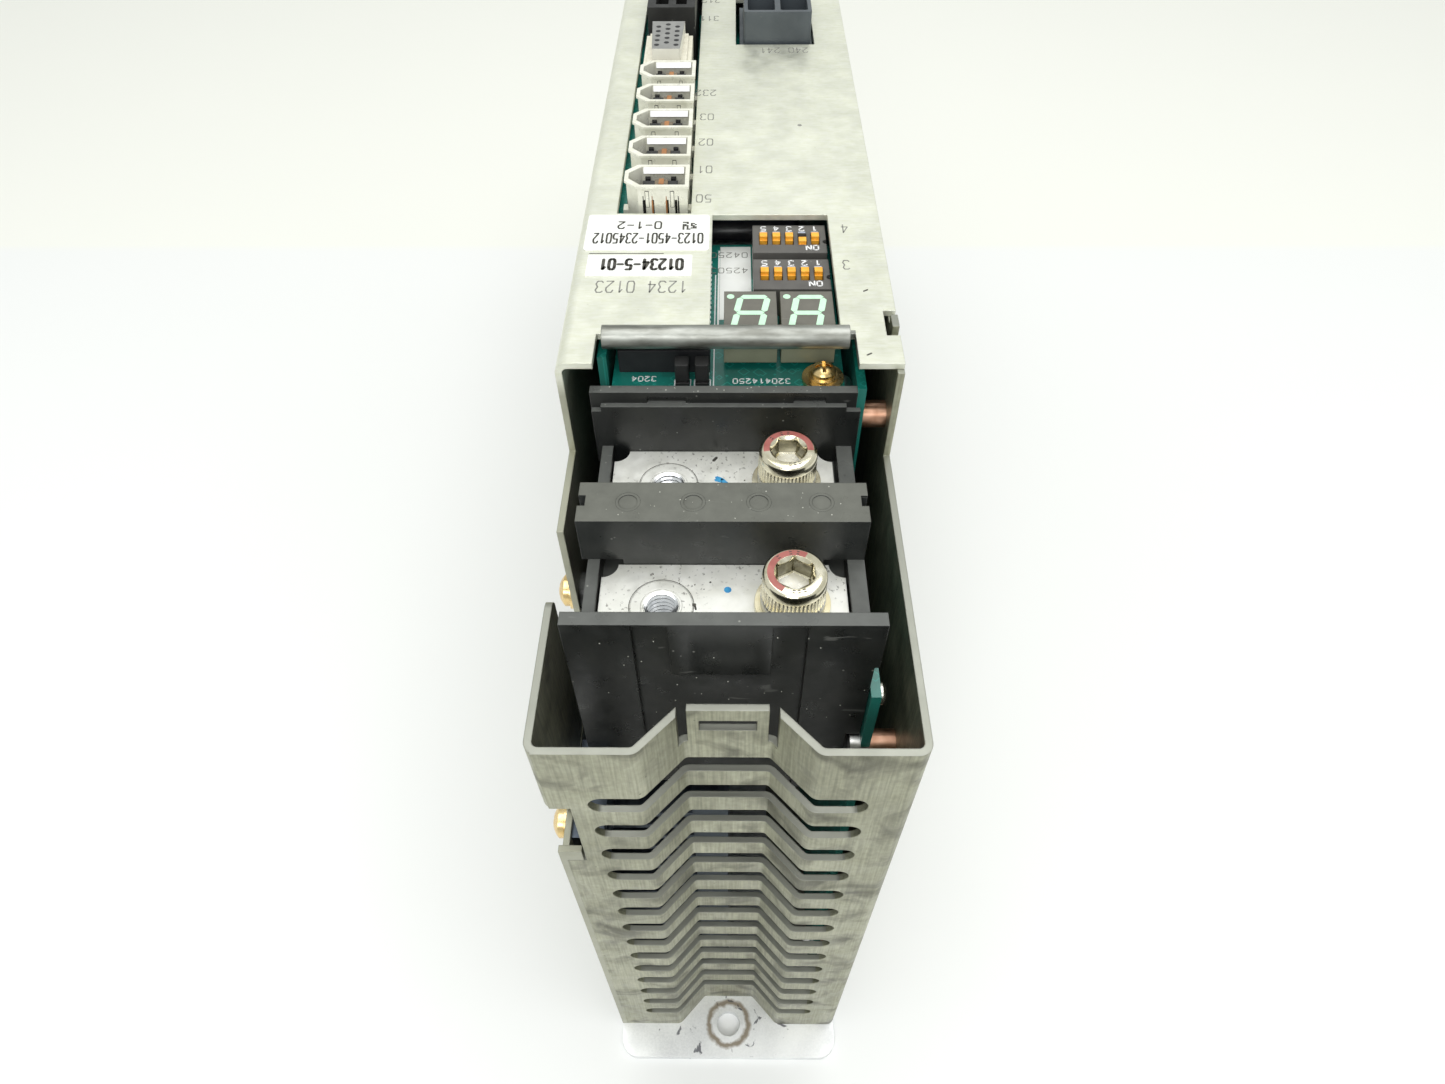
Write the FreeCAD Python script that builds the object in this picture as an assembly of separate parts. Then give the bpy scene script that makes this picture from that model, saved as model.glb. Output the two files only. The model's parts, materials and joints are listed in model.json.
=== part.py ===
import FreeCAD, Part
import math
import os

# Servo drive in the narrow "book" format, lying on its mounting plate.
# Units are millimetres.  X runs across the unit, Y from its lower end to its upper end,
# and Z out of the mounting plate towards the front panel.  The origin is the centre of
# the lower mounting hole, on the rear face of the mounting plate.

# ---- driving dimensions -------------------------------------------------------------
WIDTH = 59.0                # outer width of the body, a 60 mm module
HOLE_PITCH = 364.0          # lower mounting hole to upper mounting hole
TAB = 8.4                   # mounting plate beyond each hole
PLATE = 2.3                 # mounting plate thickness
SHEET = 1.2                 # case sheet thickness
PANEL_Z = 187.0             # outer face of the front panel
RIM_Z = 166.4               # top edge of the lower, open part of the case
PANEL_Y = 61.1              # lower edge of the front panel
CHANNEL_DEPTH = 7.1         # screwdriver channel pressed into each end plate
CHANNEL_OUT = 13.8          # half-width of the channel at its mouth
CHANNEL_IN = 6.7            # half-width of the channel's floor
BEND = 1.0                  # inside radius of the folds
SLOT_ROWS = 14              # cooling slots in an end plate
SLOT_PITCH = 10.17
SLOT_TOP_Z = 149.0          # centre of the highest slot
SLOT_HALF = 22.0            # half-length of a slot
SLOT_WIDTH = 5.0
BUSBAR_Z = 168.0            # upper face of the two bus bars
BOARD = 1.6                 # thickness of every circuit board
FRONT_BOARD_Z = 176.0       # upper face of the control board behind the panel
DISPLAY_Z = 179.0           # upper face of the display board
MAIN_BOARD_X = 23.9         # face of the main board that faces the side wall
SCREW_Y = (24.9, 51.2)      # bus bar screws and threaded holes, lower and upper
DIP_Y = (89.6, 101.4)       # centres of the two DIP switches, lower and upper
DIP_PITCH = 2.54
DIP_TRAVEL = 1.6
BOARD_SCREW = (16.6, 66.3)  # X and Y of the display board's screw
SOCKET_PITCH = 12.05

HALF = WIDTH / 2
INSIDE = HALF - SHEET
TOP_Y = HOLE_PITCH          # outer face of the upper end plate
BODY_Z = PLATE              # the case stands on the mounting plate
X_AXIS = FreeCAD.Vector(1, 0, 0)
Y_AXIS = FreeCAD.Vector(0, 1, 0)
Z_AXIS = FreeCAD.Vector(0, 0, 1)


# ---- helpers ------------------------------------------------------------------------
def vec(x, y, z):
    return FreeCAD.Vector(x, y, z)


def block(x, y, z):
    """A box from its (low, high) ranges."""
    return Part.makeBox(x[1] - x[0], y[1] - y[0], z[1] - z[0], vec(x[0], y[0], z[0]))


def around(centre, half):
    return (centre - half, centre + half)


def rod(start, axis, radius, length):
    return Part.makeCylinder(radius, length, vec(*start), axis)


def join(shapes):
    return shapes[0].fuse(shapes[1:]).removeSplitter() if len(shapes) > 1 else shapes[0]


def group(shapes):
    return Part.makeCompound(shapes)


def prism(points, direction):
    """A closed outline of (x, y, z) points pushed along a vector."""
    outline = [vec(*p) for p in points]
    return Part.Face(Part.makePolygon(outline + outline[:1])).extrude(vec(*direction))


def rounded_block(x, y, z, radius, axis=Z_AXIS):
    """A box with its four edges parallel to the axis rounded."""
    body = block(x, y, z)
    edges = [e for e in body.Edges if abs(e.tangentAt(e.FirstParameter).dot(axis)) > 0.99]
    return body.makeFillet(radius, edges)


def hexagon(centre, across_flats, axis_height):
    """A hexagonal prism along Z from the centre point."""
    reach = across_flats / math.sqrt(3)
    corners = []
    for k in range(6):
        turn = math.radians(60 * k)
        corners.append((centre[0] + reach * math.cos(turn), centre[1] + reach * math.sin(turn), centre[2]))
    return prism(corners, (0, 0, axis_height))


def folded_sheet(path, inner_radius=BEND, thickness=SHEET):
    """Face of a folded sheet, from the middle line of its section (points in one plane)."""
    points = [vec(*p) for p in path]
    normal = (points[1] - points[0]).cross(points[2] - points[1])
    normal.normalize()
    middle = inner_radius + thickness / 2
    half = thickness / 2
    side_a = []
    side_b = []
    starts = [points[0], points[0]]
    for before, corner, after in zip(points, points[1:], points[2:]):
        go_in = (corner - before).normalize()
        go_out = (after - corner).normalize()
        turn = go_in.getAngle(go_out)
        setback = middle * math.tan(turn / 2)
        side = normal if go_in.cross(go_out).dot(normal) > 0 else normal * -1
        centre = corner - go_in * setback + side.cross(go_in) * middle
        to_corner = (corner - centre).normalize()
        for n, (edges, sign) in enumerate(((side_a, 1), (side_b, -1))):
            offset = half * sign
            left_in = normal.cross(go_in) * offset
            left_out = normal.cross(go_out) * offset
            begin = corner - go_in * setback + left_in
            finish = corner + go_out * setback + left_out
            radius = (begin - centre).Length
            edges.append(Part.LineSegment(starts[n] + (left_in if starts[n] == points[0] else vec(0, 0, 0)),
                                          begin).toShape())
            edges.append(Part.Arc(begin, centre + to_corner * radius, finish).toShape())
            starts[n] = finish
    last = normal.cross((points[-1] - points[-2]).normalize()) * half
    side_a.append(Part.LineSegment(starts[0], points[-1] + last).toShape())
    side_b.append(Part.LineSegment(starts[1], points[-1] - last).toShape())
    first = normal.cross((points[1] - points[0]).normalize()) * half
    ends = [Part.LineSegment(points[0] + first, points[0] - first).toShape(),
            Part.LineSegment(points[-1] + last, points[-1] - last).toShape()]
    wire = Part.Wire(Part.__sortEdges__(side_a + side_b + ends))
    return Part.Face(wire)


def slot_tool(z, y_range):
    """A round-ended slot that runs across X and cuts through along Y."""
    radius = SLOT_WIDTH / 2
    depth = y_range[1] - y_range[0]
    straight = SLOT_HALF - radius
    return join([
        block((-straight, straight), y_range, around(z, radius)),
        rod((-straight, y_range[0], z), Y_AXIS, radius, depth),
        rod((straight, y_range[0], z), Y_AXIS, radius, depth)])


def channel_path(face_y, inward, x_start, x_end):
    """Middle line of an end plate seen along Z, with its pressed channel."""
    y = face_y + inward * SHEET / 2
    deep = y + inward * CHANNEL_DEPTH
    lean = SHEET * math.tan(math.radians(22.5)) / 2
    return [(x_start, y, 0), (-CHANNEL_OUT + lean, y, 0), (-CHANNEL_IN - lean, deep, 0),
            (CHANNEL_IN + lean, deep, 0), (CHANNEL_OUT - lean, y, 0), (x_end, y, 0)]


# ---- case ---------------------------------------------------------------------------
def mounting_plate():
    plate = rounded_block((-HALF, HALF), (-TAB, HOLE_PITCH + TAB), (0, PLATE), 5.0)
    holes = [rod((0, y, -1), Z_AXIS, 3.1, PLATE + 2) for y in (0, HOLE_PITCH)]
    return plate.cut(holes)


def vented(plate, face_y, inward):
    reach = CHANNEL_DEPTH + 2 * SHEET
    span = sorted((face_y - inward, face_y + inward * reach))
    rows = [slot_tool(SLOT_TOP_Z - SLOT_PITCH * n, span) for n in range(SLOT_ROWS)]
    return plate.cut(rows)


def chassis():
    """Right side wall and lower end plate, folded from one sheet."""
    mid = HALF - SHEET / 2
    edge = -INSIDE
    path = channel_path(0, 1, edge, mid)
    section = folded_sheet(path + [(mid, TOP_Y - 2 * SHEET, 0)])
    section.translate(vec(0, 0, BODY_Z))
    sheet = section.extrude(vec(0, 0, RIM_Z - BODY_Z))
    # relief notches and guide slot of the tab that the channel's floor ends in
    cutters = []
    for side in (-1, 1):
        cutters.append(block(sorted((side * 6.2, side * 7.7)), (3, 9), (157.0, RIM_Z + 1)))
    cutters.append(block((-4.4, 4.4), (6, 9), (160.4, 163.4)))
    # hook notch in the left edge of the end plate
    cutters.append(block((edge - 1, -24.9), (-1, 2), (125.6, 147.7)))
    sheet = vented(sheet.cut(cutters), 0, 1)
    # fin folded back from the left edge of the end plate
    fin_bend = folded_sheet([(-24.0, SHEET / 2, 147.7), (-mid, SHEET / 2, 147.7), (-mid, 8.0, 147.7)])
    fin = rounded_block((-HALF, -INSIDE), (2.6, 27.7), (141.7, RIM_Z), 2.0, X_AXIS)
    skirt = block((-HALF, -INSIDE), (9.0, 27.7), (126.6, 145.0))
    tall_wall = block((INSIDE, HALF), (60.0, TOP_Y - SHEET), (RIM_Z - 20, PANEL_Z - SHEET - 0.05))
    hook = block((INSIDE, HALF), (70.3, 73.6), (PANEL_Z - 4, PANEL_Z + 0.6))
    foot = block((12.0, INSIDE + 0.1), (20.0, TOP_Y - 20), (BODY_Z, BODY_Z + SHEET))
    body = join([sheet, fin_bend.extrude(vec(0, 0, RIM_Z - 147.7)), fin, skirt, tall_wall, hook, foot])
    holes = [rod((INSIDE - 1, y, z), X_AXIS, 1.6, 3) for y, z in spacer_places()]
    return body.cut(holes)


def upper_end_plate():
    """Upper end plate: the lower one's slots and channel, with fixing flanges at its sides."""
    flange = INSIDE - SHEET / 2 - 0.05
    y = TOP_Y - SHEET / 2
    path = channel_path(TOP_Y, -1, -flange, flange)
    path = [(-flange, y - 14, 0)] + path + [(flange, y - 14, 0)]
    section = folded_sheet(path)
    section.translate(vec(0, 0, BODY_Z))
    return vented(section.extrude(vec(0, 0, PANEL_Z - 2 * SHEET - BODY_Z)), TOP_Y, -1)


def front_cover():
    """Front panel and left side wall, folded from one sheet."""
    mid_x = HALF - SHEET / 2
    mid_z = PANEL_Z - SHEET / 2
    section = folded_sheet([(-mid_x, PANEL_Y, BODY_Z), (-mid_x, PANEL_Y, mid_z), (HALF, PANEL_Y, mid_z)])
    shell = section.extrude(vec(0, TOP_Y - PANEL_Y, 0))
    wall_low = 125.8
    gap_y = 41.5
    wall = prism([(-HALF, 0, BODY_Z), (-HALF, PANEL_Y + 1, BODY_Z), (-HALF, PANEL_Y + 1, RIM_Z),
                  (-HALF, gap_y, RIM_Z), (-HALF, gap_y, wall_low), (-HALF, 0, wall_low)], (SHEET, 0, 0))
    tongue = block((-INSIDE - 0.1, -25.4), (0, SHEET), (wall_low, 129.6))
    tongue_root = block((-HALF, -INSIDE), (0, SHEET), (wall_low - 1, 129.6))
    # rolled edge below the display window, with a relief notch at each end
    lip_x = (-21.8, 20.6)
    roll = 2.05
    lip = join([block(lip_x, (67.9, 71.6), (PANEL_Z - SHEET, PANEL_Z)),
                rod((lip_x[0], 67.9, PANEL_Z + 0.2), X_AXIS, roll, lip_x[1] - lip_x[0])])
    window = block((-3.4, 19.4), (70.05, 106.8), (PANEL_Z - 4, PANEL_Z + 2))
    deep = (PANEL_Z - 3, PANEL_Z + 1)
    cutters = [
        block((-23.0, 21.8), (PANEL_Y - 1, 69.0), deep),
        window,
        block((-22.5, -7.7), (107.3, 232.0), deep),
        block((1.4, 21.3), (186.2, 216.0), deep),
        block((-20.4, 20.4), (261.6, 282.4), deep),
        block((27.2, HALF + 1), (68.6, 75.6), deep),
        block(around(0, CHANNEL_IN + 1), (TOP_Y - CHANNEL_DEPTH, TOP_Y + 1), deep)]
    shell = shell.cut(cutters)
    body = join([shell, wall, tongue_root, tongue, lip.cut(window)])
    holes = [rod((-HALF - 1, y, z), X_AXIS, 1.7, 4) for y, z in cover_screw_places()]
    return body.cut(holes)


def cover_screw_places():
    return [(9.3, 120.6), (45.8, 143.9)]


def cover_screws():
    """Pan-head screws with captive washers that hold the left wall."""
    parts = []
    for y, z in cover_screw_places():
        washer = rod((-HALF - 0.8, y, z), X_AXIS, 3.6, 0.8)
        head = Part.makeSphere(4.4, vec(-HALF + 1.2, y, z)).common(
            rod((-HALF - 3.0, y, z), X_AXIS, 3.1, 2.3))
        shank = rod((-HALF - 1.0, y, z), X_AXIS, 1.5, 7.2)
        cross = [block((-HALF - 4, -HALF - 2.2), around(y, 1.7), around(z, 0.35)),
                 block((-HALF - 4, -HALF - 2.2), around(y, 0.35), around(z, 1.7))]
        parts.append(join([washer, head, shank]).cut(cross))
    return group(parts)


# ---- power section ------------------------------------------------------------------
def heat_sink():
    """Extrusion with fins behind the end plate's slots, and a lug for the lower wall screw."""
    length = (14.0, 330.0)
    base = block((-7.0, 0.0), length, (BODY_Z, 117.0))
    fins = []
    pitch = 5.6
    for n in range(20):
        z = BODY_Z + 3.0 + pitch * n
        fins.append(block((-26.6, -6.5), length, (z, z + 1.6)))
    lug = block((-INSIDE, -22.5), (4.5, 24.0), (112.0, 124.6))
    y, z = cover_screw_places()[0]
    return join([base, lug] + fins).cut(rod((-INSIDE - 1, y, z), X_AXIS, 1.5, 8))


def power_module():
    """Transistor module bolted to the heat sink, with its pins through the main board."""
    y = (96.0, 218.0)
    z = (24.0, 86.0)
    case = rounded_block((3.0, 17.0), y, z, 3.0, X_AXIS)
    base = block((0.0, 3.0), y, z)
    pins = [block((16.5, MAIN_BOARD_X - BOARD), around(112.0 + 8.2 * n, 0.5), around(row_z, 0.4))
            for row_z in (34.0, 76.0) for n in range(12)]
    body = join([case, base] + pins)
    return body.cut([rod((-1, hole_y, hole_z), X_AXIS, 2.8, 20) for hole_y, hole_z in module_screw_places()])


def module_screw_places():
    return [(y, z) for y in (101.0, 213.0) for z in (29.0, 81.0)]


def module_screws():
    parts = []
    for y, z in module_screw_places():
        head = rod((17.0, y, z), X_AXIS, 3.9, 3.6)
        washer = rod((16.4, y, z), X_AXIS, 2.7, 0.7)
        shank = rod((0.0, y, z), X_AXIS, 2.4, 17.1)
        parts.append(join([head, washer, shank]))
    return group(parts)


def main_board():
    """Power board that stands along the right side wall."""
    x = (MAIN_BOARD_X - BOARD, MAIN_BOARD_X)
    low = block(x, (12.6, 326.0), (12.0, 116.0))
    front = block(x, (12.6, 62.5), (100.0, 157.0))
    corner = block(x, (12.6, 18.6), (150.0, 161.0))
    upper = block(x, (62.0, 326.0), (100.0, 180.7))
    body = join([low, front, corner, upper])
    return body.cut([rod((x[0] - 1, y, z), X_AXIS, 1.7, 4) for y, z in spacer_places()])


def spacer_places():
    """(Y, Z) of the round spacers that carry the main board."""
    return [(13.9, 143.4), (65.1, 172.1), (18.0, 20.0), (160.0, 16.0), (318.0, 20.0), (318.0, 170.0)]


def main_board_spacers():
    tubes = []
    for y, z in spacer_places():
        tube = rod((MAIN_BOARD_X, y, z), X_AXIS, 2.5, INSIDE - MAIN_BOARD_X)
        tubes.append(tube.cut(rod((MAIN_BOARD_X - 1, y, z), X_AXIS, 1.55, 8)))
    return group(tubes)


def main_board_screws():
    """Screws through the board and its spacers; their ends are flush with the side wall."""
    parts = []
    for y, z in spacer_places():
        shank = rod((MAIN_BOARD_X - BOARD, y, z), X_AXIS, 1.4, HALF - MAIN_BOARD_X + BOARD)
        head = rod((MAIN_BOARD_X - BOARD - 1.8, y, z), X_AXIS, 2.6, 1.8)
        parts.append(join([shank, head]))
    return group(parts)


def capacitors():
    """DC link capacitors lying across the unit, with their snap-in leads in the main board."""
    cans = []
    radius = 15.0
    for n in range(6):
        y = 108.0 + 33.0 * n
        can = rod((-20.6, y, 142.0), X_AXIS, radius, 39.0)
        can = can.makeFillet(1.2, [e for e in can.Edges if e.Closed])
        leads = [block((18.0, MAIN_BOARD_X - BOARD), around(y, 0.8), around(142.0 + offset, 0.5))
                 for offset in (-5, 5)]
        cans.append(join([can] + leads))
    return group(cans)


def gate_board():
    """Narrow board that stands along the left side wall."""
    return block((-23.1, -21.5), (67.0, 326.0), (150.0, 183.5))


# ---- bus bar terminals --------------------------------------------------------------
BAY_LOW = (16.2, 33.3)      # clear length of the lower terminal bay
BAY_HIGH = (41.6, 59.5)     # and of the upper one
BARRIER_Z = 178.7
FLOOR_Z = BUSBAR_Z - 2.6    # under the bus bars
WALL_Z = BUSBAR_Z + 1.3     # top of the bays' side walls
BLOCK_X = (-22.9, 22.1)     # moulded body between the two side boards
THREAD_X = -10.6            # threaded hole of a bus bar
SCREW_X = 10.1              # cap screw of a bus bar


def terminal_block():
    """Moulded body: base, side walls of the bays, lower and upper barriers."""
    front = 13.9
    rail = (60.5, 62.3)
    length = (front + 0.8, rail[1])
    base = block(BLOCK_X, length, (126.0, FLOOR_Z))
    side_left = block((BLOCK_X[0], -20.9), length, (FLOOR_Z - 1, WALL_Z))
    side_right = block((19.3, BLOCK_X[1]), length, (FLOOR_Z - 1, WALL_Z))
    # lower barrier, its flange at each end and the skirt below it
    barrier = block((-24.2, 22.9), (front, BAY_LOW[0]), (167.5, BARRIER_Z))
    skirt = block((-24.2, BLOCK_X[1]), (front, BAY_LOW[0]), (126.0, 168.0))
    grooves = [block(x, (front - 1, front + 1.2), (125.0, BARRIER_Z - 0.5))
               for x in ((-14.0, -8.7), (6.5, 11.6))]
    pocket = block((-8.8, 6.6), (front - 1, front + 1.2), (125.0, 165.4))
    # upper barrier with a step in front and a rail on top
    step = block((-24.0, 22.9), (BAY_HIGH[1], rail[0]), (FLOOR_Z, BARRIER_Z))
    end_drop = [block(x, (BAY_HIGH[1] - 1, rail[0]), (BARRIER_Z - 1.0, BARRIER_Z + 1))
                for x in ((-25.0, -22.3), (20.4, 24.0))]
    top_rail = block((-24.1, 22.2), rail, (FLOOR_Z, 181.1))
    windows = [block(x, (rail[0] - 0.5, rail[0] + 0.5), (BARRIER_Z + 0.1, BARRIER_Z + 1.3))
               for x in ((-14.2, -7.5), (11.2, 16.8))]
    seat = block((-17.2, 15.5), (BAY_LOW[1] - 1, BAY_HIGH[0] + 1), (FLOOR_Z - 1, BUSBAR_Z - 0.2))
    screw_y, screw_z = cover_screw_places()[1]
    boss = rod((-INSIDE, screw_y, screw_z), X_AXIS, 3.6, BLOCK_X[0] + INSIDE + 1)
    body = join([base, side_left, side_right, barrier, skirt, step.cut(end_drop), top_rail, seat, boss])
    body = body.cut(grooves + [pocket] + windows)
    bars = [block(x_range, y_range, (FLOOR_Z, BUSBAR_Z + 0.05)) for x_range, y_range in bar_places()]
    wells = []
    for y in SCREW_Y:
        wells.append(rod((THREAD_X, y, 152.0), Z_AXIS, 3.8, 30))
        wells.append(rod((SCREW_X, y, 152.0), Z_AXIS, 3.8, 30))
    side_screw = rod((-HALF, screw_y, screw_z), X_AXIS, 1.5, 6.6)
    head_y, head_z = spacer_places()[0]
    head_room = block((19.8, 23.0), (head_y - 3.2, head_y + 3.2), (head_z - 3.2, head_z + 3.2))
    return body.cut(bars + wells + [side_screw, head_room])


def bar_places():
    """(X range, Y range) of the lower and the upper bus bar."""
    return [((-20.6, 19.0), (BAY_LOW[0] + 0.1, BAY_LOW[1] - 0.1)),
            ((-20.6, 18.6), (BAY_HIGH[0] + 0.1, BAY_HIGH[1] - 0.1))]


def terminal_barrier():
    """Separate barrier slab between the two bays, with a U notch in each end."""
    y = (BAY_LOW[1], BAY_HIGH[0])
    slab = block((-23.9, 22.1), y, (WALL_Z, BARRIER_Z))
    tongue = block((-17.2, 15.5), y, (BUSBAR_Z - 0.2, WALL_Z + 0.4))
    notches = [block(x, (36.6, 38.8), (BARRIER_Z - 7.8, BARRIER_Z + 1)) for x in ((-25, -22.7), (21.0, 23))]
    dimples = [rod((x, 37.4, BARRIER_Z - 0.13), Z_AXIS, 1.5, 1) for x in (-15.9, -5.6, 4.8, 14.7)]
    return join([slab, tongue]).cut(notches + dimples)


def busbar(index):
    """Tinned plate with notched far corners, one threaded hole and one screw hole."""
    x, y = bar_places()[index]
    plate = block(x, y, (FLOOR_Z, BUSBAR_Z))
    centre_y = SCREW_Y[index]
    cuts = [rod((corner, y[1], FLOOR_Z - 1), Z_AXIS, 2.6, 6) for corner in x]
    cuts.append(rod((THREAD_X, centre_y, FLOOR_Z - 1), Z_AXIS, 2.75, 6))
    cuts.append(rod((SCREW_X, centre_y, FLOOR_Z - 1), Z_AXIS, 3.3, 6))
    return plate.cut(cuts)


def terminal_washers():
    """Flat washers under the M6 bus bar screws."""
    rings = []
    for y in SCREW_Y:
        ring = rod((SCREW_X, y, BUSBAR_Z), Z_AXIS, 6.0, 1.2)
        rings.append(ring.cut(rod((SCREW_X, y, BUSBAR_Z - 1), Z_AXIS, 3.3, 4)))
    return group(rings)


def spring_washers():
    rings = []
    for y in SCREW_Y:
        z = BUSBAR_Z + 1.2
        ring = rod((SCREW_X, y, z), Z_AXIS, 5.1, 1.6)
        ring = ring.cut(rod((SCREW_X, y, z - 1), Z_AXIS, 3.25, 4))
        rings.append(ring.cut(block(around(SCREW_X, 0.5), (y - 6, y - 2.5), (z - 1, z + 3))))
    return group(rings)


def terminal_screws():
    """M6 socket head cap screws of the bus bar terminals."""
    parts = []
    under_head = BUSBAR_Z + 2.8
    height = 6.1
    length = 16.0
    for y in SCREW_Y:
        head = rod((SCREW_X, y, under_head), Z_AXIS, 5.0, height)
        top_edge = [e for e in head.Edges if len(e.Vertexes) == 1 and e.CenterOfMass.z > under_head + 5]
        head = head.makeChamfer(0.45, top_edge)
        head = head.cut(hexagon((SCREW_X, y, under_head + height - 3.6), 5.1, 6))
        shank = rod((SCREW_X, y, under_head - length), Z_AXIS, 2.95, length + 0.2)
        parts.append(join([head, shank]))
    return group(parts)


# ---- boards behind the panel ----------------------------------------------------------
def display_board():
    z = (DISPLAY_Z - BOARD, DISPLAY_Z)
    body = join([block((-20.7, 20.4), (62.5, 102.0), z), block((-4.3, 20.4), (101.0, 108.7), z)])
    return body.cut(rod((*BOARD_SCREW, 170), Z_AXIS, 1.6, 10))


def control_board():
    z = (FRONT_BOARD_Z - BOARD, FRONT_BOARD_Z)
    body = block((-21.3, 21.2), (106.0, 326.0), z)
    return body.cut(block((-6.5, 22.0), (105.0, 136.0), (170, 180)))


def control_chips():
    """Relay on the display board; processor, logic and drivers on the control board."""
    z = FRONT_BOARD_Z
    chips = [block((-19.6, -3.4), (68.4, 74.0), (DISPLAY_Z, DISPLAY_Z + 4.8)),
             block((0.0, 18.0), (146.0, 164.0), (z, z + 2.4)),
             block((2.0, 16.0), (170.0, 180.0), (z, z + 2.0))]
    for y in (238.0, 250.0, 292.0, 306.0):
        chips.append(block((-18.0, -8.0), around(y, 4.5), (z, z + 1.8)))
        chips.append(block((2.0, 14.0), around(y, 3.6), (z, z + 2.2)))
    return group(chips)


def board_angles():
    """Angles that hold the two front boards to the main board."""
    parts = []
    inner = MAIN_BOARD_X - BOARD
    places = [((62.9, 69.5), DISPLAY_Z - BOARD), ((150.0, 158.0), FRONT_BOARD_Z - BOARD),
              ((296.0, 304.0), FRONT_BOARD_Z - BOARD)]
    for y, top in places:
        path = [(13.0, y[0], top - 0.6), (inner - 0.6, y[0], top - 0.6), (inner - 0.6, y[0], top - 2.4)]
        section = folded_sheet(path, 0.6)
        parts.append(section.extrude(vec(0, y[1] - y[0], 0)))
    return group([parts[0].cut(rod((*BOARD_SCREW, 170), Z_AXIS, 1.5, 10))] + parts[1:])


def board_screw():
    """Pan-head cross-recess screw with a loose washer under its head."""
    x, y = BOARD_SCREW
    z = DISPLAY_Z + 0.8
    head = Part.makeSphere(2.7, vec(x, y, z)).common(rod((x, y, z + 0.6), Z_AXIS, 2.2, 3))
    collar = rod((x, y, z), Z_AXIS, 2.6, 0.7)
    shank = rod((x, y, z - 6.0), Z_AXIS, 1.4, 6.1)
    cross = [block(around(x, 1.5), around(y, 0.3), (z + 1.6, z + 4)),
             block(around(x, 0.3), around(y, 1.5), (z + 1.6, z + 4))]
    return join([head, collar, shank]).cut(cross)


def board_washer():
    ring = rod((*BOARD_SCREW, DISPLAY_Z), Z_AXIS, 3.7, 0.8)
    return ring.cut(rod((*BOARD_SCREW, 170), Z_AXIS, 1.5, 10))


def jumpers():
    """Two-way headers, each with its push-on shunt."""
    parts = []
    for x in (-8.2, -4.7):
        header = block(around(x, 1.2), (63.9, 66.5), (DISPLAY_Z, DISPLAY_Z + 1.2))
        neck = block(around(x, 0.8), (64.2, 66.2), (DISPLAY_Z + 1.0, DISPLAY_Z + 2.0))
        cap = rounded_block(around(x, 1.2), (63.9, 66.5), (DISPLAY_Z + 1.8, 184.2), 0.4)
        parts.append(join([header, neck, cap]))
    return group(parts)


# ---- DIP switches and digits ----------------------------------------------------------
DIP_X = 11.75
DIP_TOP = 185.0


def slider_x(number):
    """Slider 1 is at the right."""
    return DIP_X + DIP_PITCH * (3 - number)


def dip_body(centre_y):
    """Five-way switch body with one pit per slider."""
    body = block(around(DIP_X, 7.2), around(centre_y, 4.8), (DISPLAY_Z, DIP_TOP))
    pits = [block(around(slider_x(n), 0.85), around(centre_y, 2.0), (DIP_TOP - 1.4, DIP_TOP + 1))
            for n in range(1, 6)]
    key = rod((DIP_X + 7.2, centre_y - 1.0, DIP_TOP - 2), Z_AXIS, 0.7, 3)
    return body.cut(pits + [key])


def dip_slider(centre_y, number, switched_on):
    """Slider with a raised thumb; its off end is the one towards the upper end of the unit."""
    y = centre_y + DIP_TRAVEL / 2 * (-1 if switched_on else 1)
    x = slider_x(number)
    foot = block(around(x, 0.75), around(y, 1.1), (DIP_TOP - 1.3, DIP_TOP - 0.2))
    thumb = block(around(x, 0.75), around(y, 0.75), (DIP_TOP - 0.3, DIP_TOP + 0.5))
    return join([foot, thumb])


def digit(centre_x):
    """One seven-segment digit on two rows of short legs."""
    y = (70.1, 82.7)
    case = block(around(centre_x, 4.75), y, (DISPLAY_Z + 0.8, 186.0))
    legs = [block(around(centre_x + side * 3.8, 0.4), (72.0, 81.0), (DISPLAY_Z, DISPLAY_Z + 1.0))
            for side in (-1, 1)]
    return join([case] + legs)


# ---- connectors ---------------------------------------------------------------------
SOCKET_X = (-20.6, -8.4)
SOCKET_TOP = 192.0


def socket_y(index):
    return 112.8 + SOCKET_PITCH * index


def io_socket(index):
    """Metal shell of a six-way socket that stands on the control board, mouth up."""
    y = socket_y(index)
    wall = 0.45
    lean = 2.4

    def outline(inset, low, high):
        left = SOCKET_X[0] + inset
        right = SOCKET_X[1] - inset
        half = 3.9 - inset
        corners = [(left, y - half + lean, low), (left + lean, y - half, low), (right, y - half, low),
                   (right, y + half, low), (left + lean, y + half, low), (left, y + half - lean, low)]
        return prism(corners, (0, 0, high - low))

    shell = outline(0, FRONT_BOARD_Z, SOCKET_TOP).cut(outline(wall, FRONT_BOARD_Z + 1.0, SOCKET_TOP + 1))
    flare = outline(-0.35, SOCKET_TOP - 0.5, SOCKET_TOP)
    flare = flare.cut(outline(wall - 0.1, SOCKET_TOP - 1, SOCKET_TOP + 1))
    springs = []
    for x in (-17.0, -12.4):
        springs.append(block(around(x, 0.25), (y - 5, y - 3), (180.0, 189.0)))
        springs.append(block(around(x + 1.7, 0.25), (y - 5, y - 3), (180.0, 189.0)))
    ears = [block(sorted((edge, edge + side * 1.3)), around(y, 1.1), (183.6, 185.2))
            for edge, side in ((SOCKET_X[0] + 0.2, -1), (SOCKET_X[1] - 0.2, 1))]
    return join([shell, flare] + ears).cut(springs)


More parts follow.
